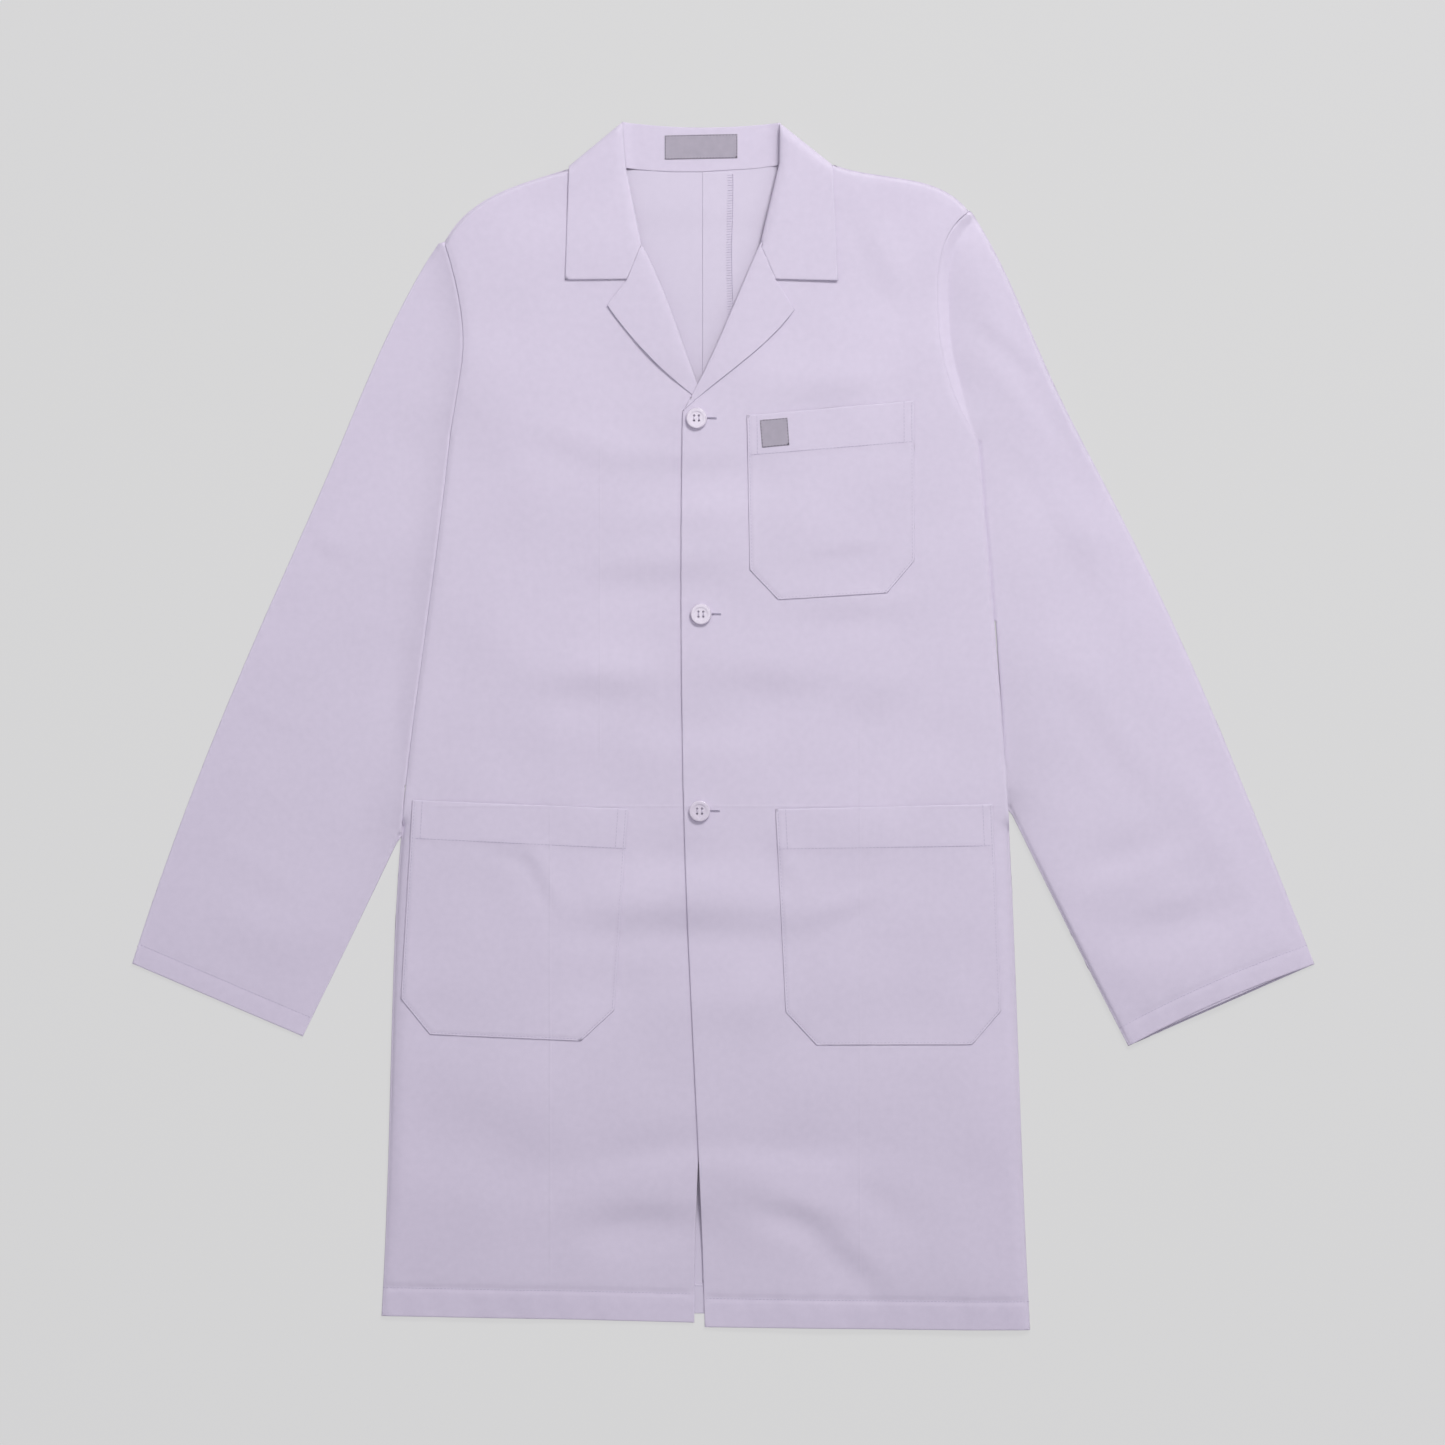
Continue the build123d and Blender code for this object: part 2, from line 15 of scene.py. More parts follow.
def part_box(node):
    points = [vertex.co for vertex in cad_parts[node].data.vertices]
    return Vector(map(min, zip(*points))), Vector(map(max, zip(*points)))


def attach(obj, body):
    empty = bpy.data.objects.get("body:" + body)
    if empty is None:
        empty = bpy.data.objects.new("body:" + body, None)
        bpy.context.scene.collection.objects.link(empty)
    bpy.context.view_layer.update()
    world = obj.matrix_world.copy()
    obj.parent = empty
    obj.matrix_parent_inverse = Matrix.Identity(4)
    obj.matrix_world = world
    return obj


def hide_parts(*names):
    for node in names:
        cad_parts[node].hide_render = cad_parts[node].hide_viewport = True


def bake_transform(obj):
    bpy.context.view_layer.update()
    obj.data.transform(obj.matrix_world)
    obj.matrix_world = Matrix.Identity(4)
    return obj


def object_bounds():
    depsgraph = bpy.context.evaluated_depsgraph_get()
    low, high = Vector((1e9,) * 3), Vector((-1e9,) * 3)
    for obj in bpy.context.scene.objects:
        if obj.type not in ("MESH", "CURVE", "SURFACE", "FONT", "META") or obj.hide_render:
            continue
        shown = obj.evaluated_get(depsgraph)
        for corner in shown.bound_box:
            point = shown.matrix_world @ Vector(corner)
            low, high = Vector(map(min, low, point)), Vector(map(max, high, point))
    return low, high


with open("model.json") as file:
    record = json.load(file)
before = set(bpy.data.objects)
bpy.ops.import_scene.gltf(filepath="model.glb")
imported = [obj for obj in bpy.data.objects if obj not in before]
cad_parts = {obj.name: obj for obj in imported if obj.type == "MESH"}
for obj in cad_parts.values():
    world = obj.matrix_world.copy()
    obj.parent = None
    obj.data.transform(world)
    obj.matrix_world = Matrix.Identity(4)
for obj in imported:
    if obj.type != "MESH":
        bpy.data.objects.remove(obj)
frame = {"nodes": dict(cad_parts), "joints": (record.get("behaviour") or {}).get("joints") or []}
cad_low, cad_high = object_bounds()
JOINTS = {joint["name"]: joint for joint in frame["joints"]}

BUTTON_NODES = ["button_1", "button_2", "button_3"]
BUTTON_CENTRES = [np.array(JOINTS[name]["pos_m"][:2]) for name in BUTTON_NODES]
CENTRE_BACK_X = float(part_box("left_back_panel")[0].x)

MM = 0.001
CLOTH_THICKNESS = 0.5 * MM
INNER_THICKNESS = 0.4 * MM  # of the layers inside the coat, drawn thinner so that they stay apart
WELD = 1e-6  # vertices closer than this are one
OUTLINE_STEP = 4.0 * MM  # longest edge along an outline
HOLE_STEP = 1.5 * MM  # and along the outline of a hole
ON_LINE = 0.9 * MM  # how near a fold line a point counts as on it
SOFTNESS = 0.5 * MM  # how gradually a cloth comes to rest on what is below it
LEAST_TOP = 2.5 * MM  # lowest lie of the coat's upper cloth
UNDER_LAP = 1.0 * MM  # depth of a tucked edge below the cloth over it
TUCKED = 1.1 * MM  # and how far it reaches below
BUTTON_HOLD = 22 * MM  # how far around a button the cloth lies even

# Distances from an outline, or from a groove, of the rows of points that carry its shape.
EDGE_RINGS = (0.3 * MM, 0.9 * MM, 2.2 * MM)
NARROW_RINGS = (0.3 * MM, 1.0 * MM)
FINE_RINGS = (0.3 * MM, 0.9 * MM, 1.8 * MM, 3.0 * MM, 4.6 * MM)
SLEEVE_RINGS = (*FINE_RINGS, 6.4 * MM, 8.2 * MM, 9.3 * MM, 10.2 * MM, 11.2 * MM, 12.6 * MM, 15 * MM)
GROOVE_ROWS = (-5.2 * MM, -3.0 * MM, -1.4 * MM, 0.0, 1.4 * MM, 3.0 * MM, 5.2 * MM)

FOLD_HALF_WIDTH = 14.0 * MM  # cloth on each side of a fold line that gets its own rows of points
FOLD_STEP = 5.0 * MM
FOLD_ROWS, FOLD_REACH = 5, 240  # rows each side of a fold line, and steps each way along it


# --- Outlines read from the frame ------------------------------------------------------------
def level_loops(node, height=None):
    """Closed outlines, from above, of a node's flat faces at a height, its top if none is given."""
    mesh = frame["nodes"][node].data
    points = np.array([v.co for v in mesh.vertices])
    height = points[:, 2].max() if height is None else height
    flat = np.abs(points[:, 2] - height) < 0.02 * MM
    keys = [tuple(key) for key in np.round(points[:, :2] / WELD).astype(int)]
    edges = set()
    for face in mesh.polygons:
        if all(flat[v] for v in face.vertices):
            ring = [keys[v] for v in face.vertices]
            edges.update(zip(ring, ring[1:] + ring[:1]))
    following = {a: b for a, b in edges if (b, a) not in edges}
    loops = []
    while following:
        start, after = following.popitem()
        loop = [start]
        while after != start and after in following:
            loop.append(after)
            after = following.pop(after)
        loops.append(np.array(loop) * WELD)
    return sorted(loops, key=lambda ring: -abs(signed_area(ring)))


def signed_area(loop):
    """Area inside a closed loop, above 0 if it runs anticlockwise."""
    x, y = loop[:, 0], loop[:, 1]
    return 0.5 * float(np.sum(x * np.roll(y, -1) - np.roll(x, -1) * y))


def anticlockwise(loop):
    return loop if signed_area(loop) > 0 else loop[::-1]


def outline(node, height=None):
    """The largest outline of a node's flat faces at a height."""
    return anticlockwise(level_loops(node, height)[0])


def started(chosen, ring):
    """Flags and a ring of points, turned so that they begin where a chosen stretch does."""
    first = next(i for i in range(len(chosen)) if chosen[i] and not chosen[i - 1])
    return np.roll(chosen, -first), np.roll(ring, -first, axis=0)


def joined(loop_a, loop_b, joint_name):
    """One outline for two pieces of the same cloth that meet along a joint's fold line."""
    origin, _, across = fold_line(joint_name)
    parts = []
    for loop in (loop_a, loop_b):
        away, loop = started(np.abs((loop - origin) @ across) >= ON_LINE, loop)
        last = np.flatnonzero(away)[-1]
        parts.append(np.vstack([loop[-1:], loop[: last + 2]]))
    merged = np.vstack(parts)
    gaps = np.linalg.norm(merged - np.roll(merged, 1, axis=0), axis=1)
    return anticlockwise(merged[gaps > 1.3 * ON_LINE])


def resampled(path, closed=True, step=OUTLINE_STEP):
    """The path with every edge divided to at most step."""
    points = np.vstack([path, path[:1]]) if closed else np.asarray(path)
    made = []
    for a, b in zip(points[:-1], points[1:]):
        pieces = max(1, math.ceil(np.linalg.norm(b - a) / step - 1e-6))
        made.extend(a + (b - a) * k / pieces for k in range(pieces))
    if not closed:
        made.append(points[-1])
    return np.array(made)


def corners(loop, least_turn=8.0):
    """The points of an outline where it turns by more than some degrees."""
    before = loop - np.roll(loop, 1, axis=0)
    after = np.roll(loop, -1, axis=0) - loop
    cross = before[:, 0] * after[:, 1] - before[:, 1] * after[:, 0]
    turn = np.degrees(np.abs(np.arctan2(cross, np.sum(before * after, axis=1))))
    return loop[turn > least_turn]


def furthest(loop, x, y):
    """The point of a loop that lies furthest in a direction."""
    return loop[np.argmax(loop @ np.array([x, y]))]


def lower_line(loop, depth):
    """A line across a piece, some way above the lower edge of its outline."""
    left, right = furthest(loop, -0.4, -1), furthest(loop, 0.4, -1)
    return inset(between(loop, left, right), depth)


def between(loop, start, end):
    """The stretch of a loop from the point nearest start, along the loop, to the point nearest end."""
    first = int(np.argmin(np.linalg.norm(loop - start, axis=1)))
    loop = np.roll(loop, -first, axis=0)
    last = int(np.argmin(np.linalg.norm(loop - end, axis=1)))
    return loop[: last + 1]


def inset(path, by):
    """An open path moved to its left by some distance, with its corners kept."""
    edges = path[1:] - path[:-1]
    keep = np.linalg.norm(edges, axis=1) > 1e-7
    path = np.vstack([path[:-1][keep], path[-1:]])
    edges = path[1:] - path[:-1]
    edges /= np.linalg.norm(edges, axis=1)[:, None]
    left = np.stack([-edges[:, 1], edges[:, 0]], axis=1)
    first, last = left[:1], left[-1:]
    bisector = left[:-1] + left[1:]
    bisector /= np.maximum(np.sum(bisector * left[:-1], axis=1), 0.2)[:, None]
    return path + by * np.vstack([first, bisector, last])


def tucked_below(loop, cover):
    """An outline whose stretch beside a covering piece reaches a little way below it."""
    loop = resampled(loop)
    path = inset(closed_path(loop), -TUCKED)[:-1]
    beside = distance(loop, [closed_path(cover)]) < 2 * TUCKED
    return np.where(beside[:, None], path, loop)


def segments(paths):
    """Start and end points of every edge of some open paths."""
    starts = np.vstack([path[:-1] for path in paths])
    ends = np.vstack([path[1:] for path in paths])
    return starts, ends


def closed_path(loop):
    return np.vstack([loop, loop[:1]])


def closed_paths(loops):
    return [closed_path(loop) for loop in loops]


def distance(points, paths, chunk=3000):
    """Distance from each point to the nearest of some open paths."""
    starts, ends = segments(paths)
    edge = ends - starts
    squared = np.maximum(np.sum(edge * edge, axis=1), 1e-18)
    found = []
    for low in range(0, len(points), chunk):
        offset = points[low : low + chunk, None, :] - starts[None]
        share = np.clip(np.sum(offset * edge[None], axis=2) / squared, 0, 1)
        nearest = offset - share[..., None] * edge[None]
        found.append(np.sqrt(np.min(np.sum(nearest * nearest, axis=2), axis=1)))
    return np.concatenate(found)


def inside(points, loops, chunk=3000):
    """Whether each point is inside the outlines, by the even-odd rule."""
    starts, ends = segments(closed_paths(loops))
    found = []
    for low in range(0, len(points), chunk):
        x = points[low : low + chunk, 0][:, None]
        y = points[low : low + chunk, 1][:, None]
        spans = (starts[:, 1] > y) != (ends[:, 1] > y)
        rise = ends[:, 1] - starts[:, 1]
        rise = np.where(np.abs(rise) < 1e-15, 1e-15, rise)
        crossing = starts[:, 0] + (y - starts[:, 1]) / rise * (ends[:, 0] - starts[:, 0])
        found.append(np.sum(spans & (x < crossing), axis=1) % 2 == 1)
    return np.concatenate(found)


# --- The lie of the cloth ---------------------------------------------------------------------
# Each soft slope in the cloth: middle x and y, turn of its long side in degrees, half length, half width
# and steepness. Above 0 it faces the hem, below 0 the collar.
SLOPES = [
    (-0.073, -0.418, 3, 0.052, 0.020, 0.25),
    (-0.066, -0.374, 8, 0.060, 0.018, -0.14),
    (0.060, -0.414, -14, 0.040, 0.016, 0.25),
    (0.104, -0.448, -42, 0.048, 0.016, 0.20),
    (0.055, -0.372, -4, 0.070, 0.018, -0.14),
    (0.122, -0.410, -38, 0.040, 0.016, -0.11),
    (-0.170, -0.350, -20, 0.090, 0.030, 0.07),
    (-0.060, -0.165, 2, 0.075, 0.022, 0.18),
    (0.030, -0.168, -3, 0.070, 0.022, 0.16),
    (0.105, -0.158, 22, 0.032, 0.012, 0.14),
    (-0.157, -0.128, -62, 0.034, 0.010, 0.19),
    (-0.180, -0.108, -20, 0.024, 0.009, 0.12),
    (0.050, -0.118, -62, 0.030, 0.010, 0.14),
    (-0.030, -0.122, 0, 0.055, 0.018, -0.12),
    (-0.020, -0.225, 6, 0.110, 0.024, -0.08),
    (-0.105, 0.034, 2, 0.048, 0.020, 0.18),
    (0.038, 0.036, -3, 0.060, 0.020, 0.12),
    (-0.020, -0.010, 0, 0.070, 0.020, -0.09),
    (0.130, 0.020, 24, 0.060, 0.020, 0.07),
    (-0.035, 0.224, 0, 0.060, 0.014, 0.15),
    (-0.125, 0.236, -18, 0.045, 0.018, 0.11),
    (-0.030, 0.190, 3, 0.060, 0.016, -0.11),
    (-0.062, 0.130, 4, 0.060, 0.018, 0.14),
    (0.113, 0.098, 0, 0.048, 0.016, 0.14),
    (0.110, 0.150, 12, 0.026, 0.009, 0.12),
    (0.090, 0.285, 6, 0.050, 0.016, 0.11),
    (-0.150, 0.120, 70, 0.120, 0.030, 0.05),
    (0.130, 0.400, -66, 0.045, 0.014, 0.11),
    (0.165, 0.330, 80, 0.080, 0.022, -0.08),
    (-0.342, 0.151, -30, 0.038, 0.010, 0.15),
    (-0.385, 0.002, -22, 0.046, 0.010, 0.14),
    (-0.400, -0.130, -32, 0.060, 0.016, 0.12),
    (-0.330, -0.170, -28, 0.050, 0.018, -0.08),
    (0.250, 0.318, -38, 0.042, 0.010, 0.16),
    (0.268, 0.268, -52, 0.055, 0.011, -0.12),
    (0.290, 0.170, -60, 0.090, 0.014, 0.09),
    (0.388, -0.157, 12, 0.046, 0.020, 0.19),
    (0.350, -0.118, 20, 0.050, 0.018, -0.15),
    (0.330, -0.010, -55, 0.070, 0.018, 0.11),
    (0.425, -0.085, -62, 0.080, 0.016, -0.11),
]
# Long waves over the whole coat: direction in degrees, length, phase and height in mm.
RIPPLES = [
    (0.0, 0.21, 0.9, 0.55), (63.0, 0.16, 2.1, 0.45), (-48.0, 0.27, 4.0, 0.7), (88.0, 0.12, 5.2, 0.25),
    (24.0, 0.071, 1.3, 0.14), (-37.0, 0.083, 3.1, 0.2), (74.0, 0.058, 0.4, 0.12), (-71.0, 0.094, 5.6, 0.22),
]


def relief(points):
    """Height of the cloth's soft folds and ripples, which fade out where the buttons hold it."""
    x, y = points[:, 0], points[:, 1]
    total = np.zeros(len(points))
    for middle_x, middle_y, turn, long_half, short_half, steepness in SLOPES:
        c, s = math.cos(math.radians(turn)), math.sin(math.radians(turn))
        along = (x - middle_x) * c + (y - middle_y) * s
        across = -(x - middle_x) * s + (y - middle_y) * c
        total += steepness * across * np.exp(-((along / long_half) ** 2) - (across / short_half) ** 2)
    for turn, wave, phase, height in RIPPLES:
        c, s = math.cos(math.radians(turn)), math.sin(math.radians(turn))
        total += height * MM * np.sin(2 * math.pi * (x * c + y * s) / wave + phase)
    for centre in BUTTON_CENTRES:
        total *= 1 - np.exp(-np.sum((points - centre) ** 2, axis=1) / BUTTON_HOLD**2)
    return total


def smooth(value):
    """0 to 1, with soft ends."""
    value = np.clip(value, 0, 1)
    return value * value * (3 - 2 * value)


class Cloth:
    """A sheet of cloth seen from above: its outline, its height, and where it rolls over or dips.

    rolls are (paths, radius, height): the cloth turns to that height at the path, as at a folded edge.
    dips are (paths, half width, depth): a soft groove along a seam or a row of stitches.
    over is the cloth that this one's edge is tucked below; least is the height it can't sink under.
    waviness is its share of the relief, which fades in over the calm strip beside a roll.
    """

    def __init__(
        self, loop, height, rolls=(), dips=(), waviness=0.0, calm=45 * MM, edge=0.5 * MM,
        raised=None, holes=(), over=None, least=None,
    ):
        self.loop = resampled(loop)
        self.holes = [resampled(hole, step=HOLE_STEP) for hole in holes]
        self.height, self.raised = height, raised
        self.rolls, self.dips = rolls, dips
        self.waviness, self.calm, self.edge = waviness, calm, edge
        self.over, self.least = over, least

    def surface(self, points):
        """Height of the cloth's upper face at some points."""
        points = np.asarray(points, float)
        z = self.height(points) if callable(self.height) else np.full(len(points), float(self.height))
        reached = [distance(points, paths) for paths, _, _ in self.rolls]
        if self.waviness:
            fade = np.prod([smooth(reach / self.calm) for reach in reached], axis=0) if reached else 1.0
            z += self.waviness * relief(points) * fade
        if self.raised:
            z += self.raised(points)
        if self.least:
            z = self.least + SOFTNESS * np.logaddexp(0, (z - self.least) / SOFTNESS)
        for reach, (_, radius, edge_height) in zip(reached, self.rolls):
            share = np.clip(1 - reach / radius, 0, 1)
            edge_z = edge_height(points) if callable(edge_height) else edge_height
            z = edge_z + (z - edge_z) * np.sqrt(1 - share * share)
        for paths, half_width, depth in self.dips:
            z -= depth * np.exp(-((distance(points, paths) / half_width) ** 2))
        if self.edge:
            share = np.clip(1 - distance(points, [closed_path(self.loop)]) / (2 * self.edge), 0, 1)
            z -= self.edge * (1 - np.sqrt(1 - share * share))
        if self.over:
            hidden = inside(points, [self.over.loop])
            if hidden.any():
                z[hidden] = np.minimum(z[hidden], self.over.surface(points[hidden]) - UNDER_LAP)
        return z


def grid_points(loops, spacing, margin):
    """Points of a triangular grid that lie inside the outlines and clear of their edges."""
    low, high = loops[0].min(0), loops[0].max(0)
    rows = np.arange(low[1], high[1], spacing * math.sqrt(3) / 2)
    columns = np.arange(low[0], high[0], spacing)
    points = np.array([(x + (k % 2) * spacing / 2, y) for k, y in enumerate(rows) for x in columns])
    points = points[inside(points, loops)]
    return points[distance(points, closed_paths(loops)) > margin]


def edge_rings(loop, offsets, inward):
    """Rows of points just inside an outline, which carry its rounded edge."""
    rings = []
    path = closed_path(loop)
    for offset in offsets:
        ring = inset(path, offset * inward)[:-1]
        clear = distance(ring, [path]) > 0.9 * offset
        rings.append(ring[clear])
    return rings


def fold_rows(joint_name, loops):
    """Rows of points along a fold line, which let the cloth bend evenly there."""
    origin, along, across = fold_line(joint_name)
    points = np.array([
        origin + along * FOLD_STEP * (k + 0.5 * (row % 2)) + across * FOLD_HALF_WIDTH * row / FOLD_ROWS
        for row in range(-FOLD_ROWS, FOLD_ROWS + 1) for k in range(-FOLD_REACH, FOLD_REACH)
    ])
    points = points[inside(points, loops)]
    return points[distance(points, closed_paths(loops)) > 0.5 * FOLD_STEP]


def fold_line(joint_name):
    """A point on a joint's fold line, and the directions along and across it."""
    joint = JOINTS[joint_name]
    along = np.array(joint["axis"][:2]) / np.linalg.norm(joint["axis"][:2])
    return np.array(joint["pos_m"][:2]), along, np.array([-along[1], along[0]])


def sheet_mesh(name, cloth, spacing, offsets, fold=None):
    """A single layer of triangles over the cloth's outline, at the height of its surface."""
    loops = [cloth.loop, *cloth.holes]
    edges, start = [], 0
    for loop in loops:
        edges.extend((start + k, start + (k + 1) % len(loop)) for k in range(len(loop)))
        start += len(loop)
    points = [*loops, *edge_rings(cloth.loop, offsets, 1)]
    for hole in cloth.holes:
        points.extend(edge_rings(hole, NARROW_RINGS, -1))
    grid = grid_points(loops, spacing, max(offsets) + 0.55 * spacing)
    grooves = [path for paths, _, _ in cloth.dips for path in paths]
    if grooves:
        grid = grid[distance(grid, grooves) > max(GROOVE_ROWS) + 0.4 * spacing]
        rows = np.vstack([inset(resampled(path, False), at) for path in grooves for at in GROOVE_ROWS])
        rows = rows[inside(rows, loops)]
        points.append(rows[distance(rows, closed_paths(loops)) > max(offsets)])
    if fold:
        origin, _, across = fold_line(fold)
        grid = grid[np.abs((grid - origin) @ across) > FOLD_HALF_WIDTH + 0.5 * spacing]
        points.append(fold_rows(fold, loops))
    points.append(grid)
    flat = [Vector(point) for point in np.vstack(points)]
    verts, _, faces, _, _, _ = delaunay_2d_cdt(flat, edges, [], 0, 1e-7)
    verts, faces = np.array(verts), np.array(faces)
    kept = faces[inside(verts[faces].mean(axis=1), loops)]
    used, renumbered = np.unique(kept, return_inverse=True)
    verts, kept = verts[used], renumbered.reshape(-1, 3)
    mesh = bpy.data.meshes.new(name)
    z = cloth.surface(verts)
    mesh.from_pydata(np.column_stack([verts, z]).tolist(), [], kept.tolist())
    uv = mesh.uv_layers.new(name="cloth")
    corner_verts = np.array([loop.vertex_index for loop in mesh.loops])
    uv.data.foreach_set("uv", verts[corner_verts].astype(np.float32).ravel())
    mesh.shade_smooth()
    mesh.update()
    return mesh


def show(name, mesh, material):
    """A new object for a mesh, with its material."""
    made = bpy.data.objects.new(name, mesh)
    bpy.context.scene.collection.objects.link(made)
    mesh.materials.append(material)
    return made


SHEETS = []


def sheet(
    name, cloth, material, nodes, spacing=7 * MM, thickness=CLOTH_THICKNESS, slot="coat_cloth",
    held="laid", rests_on=(), offsets=EDGE_RINGS, fold=None,
):
    """A cloth piece that stands for some CAD nodes, listed in SHEETS with the size of its cut.

    spacing and offsets set its rows of mesh points, and fold is the joint whose fold line crosses it.
    """
    made = show(name, sheet_mesh(name, cloth, spacing, offsets, fold), material)
    solid = made.modifiers.new("thickness", "SOLIDIFY")
    solid.thickness = thickness
    solid.offset = -1
    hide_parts(*nodes)
    width, length = (float(size) for size in cloth.loop.max(0) - cloth.loop.min(0))
    area = abs(signed_area(cloth.loop))
    is_rectangle = area >= 0.999 * width * length
    SHEETS.append((made, (width, length), held, rests_on, None if is_rectangle else area))
    return made


def declare_sheets():
    """Works out a narrower size for each sheet with little area for its length, so that its size gives its
    true area; the size is not kept. A sheet with little area for its length is declared narrower, so that
    its size gives its true area.
    """
    for made, flat, held, rests_on, area in SHEETS:
        least = 0.3 * flat[0] * flat[1]
        if area is not None and area < least:
            long_side = max(flat)
            flat = (area / long_side * 1.02, long_side)


# --- Stitches ---------------------------------------------------------------------------------
STITCH_SIDES = 6
# Rings of a stitch: place along its half length, then size and rise in thread radii.
STITCH_RINGS = [
    (-1.0, 0.35, -0.9), (-0.62, 0.9, 0.05), (0.0, 1.0, 0.3), (0.62, 0.9, 0.05), (1.0, 0.35, -0.9),
]


class Thread:
    """Collects many small lengths of thread into one mesh."""

    def __init__(self):
        self.verts, self.faces = [], []

    def add(self, start, end, radius, lift=0.0):
        """One stitch between two points, arched, with its ends sunk in the cloth."""
        start, end = np.asarray(start, float), np.asarray(end, float)
        middle, half = (start + end) / 2, (end - start) / 2
        along = half / max(np.linalg.norm(half), 1e-9)
        side = np.cross(along, (0, 0, 1.0))
        side /= max(np.linalg.norm(side), 1e-9)
        up = np.cross(side, along)
        base = len(self.verts)
        for share, size, rise in STITCH_RINGS:
            centre = middle + half * share + np.array([0, 0, lift + rise * radius])
            for k in range(STITCH_SIDES):
                angle = 2 * math.pi * k / STITCH_SIDES
                self.verts.append(centre + radius * size * (side * math.cos(angle) + up * math.sin(angle)))
        for ring in range(len(STITCH_RINGS) - 1):
            for k in range(STITCH_SIDES):
                a = base + ring * STITCH_SIDES + k
                b = base + ring * STITCH_SIDES + (k + 1) % STITCH_SIDES
                self.faces.append((a, b, b + STITCH_SIDES, a + STITCH_SIDES))
        last = base + (len(STITCH_RINGS) - 1) * STITCH_SIDES
        self.faces.append(tuple(base + k for k in reversed(range(STITCH_SIDES))))
        self.faces.append(tuple(last + k for k in range(STITCH_SIDES)))

    def row(self, path, cloth, length=2.5 * MM, gap=0.55 * MM, radius=0.2 * MM, lift=0.1 * MM):
        """A row of stitches along a path on a cloth."""
        path = np.asarray(path, float)
        steps = np.linalg.norm(path[1:] - path[:-1], axis=1)
        reached = np.concatenate([[0], np.cumsum(steps)])
        count = max(1, int(reached[-1] // (length + gap)))
        pitch = reached[-1] / count
        starts = np.arange(count) * pitch + gap / 2
        ends = starts + pitch - gap
        ends_xy = [
            np.column_stack([np.interp(at, reached, path[:, axis]) for axis in (0, 1)])
            for at in (starts, ends)
        ]
        heights = [cloth.surface(xy) for xy in ends_xy]
        for a, b, za, zb in zip(*ends_xy, *heights):
            self.add((*a, za), (*b, zb), radius, lift)

    def show(self, name, material):
        mesh = bpy.data.meshes.new(name)
        mesh.from_pydata([tuple(v) for v in self.verts], [], self.faces)
        mesh.shade_smooth()
        return show(name, mesh, material)


# --- Materials ---
class Look:
    """A new material with its principled shader, and short ways to add and link nodes."""

    def __init__(self, name):
        self.material = bpy.data.materials.new(name)
        self.material.use_nodes = True
        self.tree = self.material.node_tree

    def fill(self, node, inputs):
        """Give a node's inputs their values, or link them to other nodes' outputs."""
        for key, value in inputs.items():
            if isinstance(value, bpy.types.NodeSocket):
                self.tree.links.new(value, node.inputs[key])
            else:
                node.inputs[key].default_value = value

    def add(self, kind, inputs, output=0, **settings):
        """An output of a new node."""
        node = self.tree.nodes.new(f"ShaderNode{kind}")
        for key, value in settings.items():
            setattr(node, key, value)
        self.fill(node, inputs)
        return node.outputs[output]

    def maths(self, operation, *values):
        return self.add("Math", dict(enumerate(values)), operation=operation)

    def mapped(self, value, low, high, start=0.0, end=1.0, **settings):
        """A value carried from between start and end to between low and high."""
        inputs = {"Value": value, "From Min": start, "From Max": end, "To Min": low, "To Max": high}
        return self.add("MapRange", inputs, "Result", **settings)

    def noise(self, place, scale, detail, distortion=0.0):
        inputs = {"Vector": place, "Scale": scale, "Detail": detail, "Distortion": distortion}
        return self.add("TexNoise", inputs, "Fac")

    def mixed(self, share, first, second, **settings):
        return self.add("Mix", {0: share, 6: first, 7: second}, 2, data_type="RGBA", **settings)

    def bump(self, height, strength, depth, **below):
        inputs = {"Height": height, "Strength": strength, "Distance": depth, **below}
        return self.add("Bump", inputs, "Normal")

    def finish(self, inputs):
        self.fill(self.tree.nodes["Principled BSDF"], inputs)
        return self.material


# Sharp creases left by folding and ironing: axis they cross, place on it, and their two ends on the other.
CREASES = [
    (0, -0.1475, -0.48, -0.06), (0, -0.105, -0.05, 0.25), (0, 0.1166, -0.48, 0.02), (1, -0.0685, -0.26, 0.25),
]
CREASE_HALF_WIDTH, CREASE_FADE = 1.6 * MM, 30 * MM
WEAVE_DEPTH, THREAD_DEPTH = 0.12 * MM, 0.05 * MM


def crease_height(look, place):
    """Height of the sharp creases, as ridges along lines of the rest lie."""
    axes = look.add("SeparateXYZ", {"Vector": place}).node.outputs
    total = 0.0
    for axis, at, low, high in CREASES:
        offset = look.maths("ABSOLUTE", look.maths("SUBTRACT", axes[axis], at))
        ridge = look.mapped(offset, 1.0, 0.0, end=CREASE_HALF_WIDTH, interpolation_type="SMOOTHSTEP")
        middle, half = (low + high) / 2, (high - low) / 2
        reach = look.maths("ABSOLUTE", look.maths("SUBTRACT", axes[1 - axis], middle))
        extent = look.mapped(reach, 1.0, 0.0, half - CREASE_FADE, half, interpolation_type="SMOOTHSTEP")
        total = look.maths("MULTIPLY_ADD", ridge, extent, total)
    return total


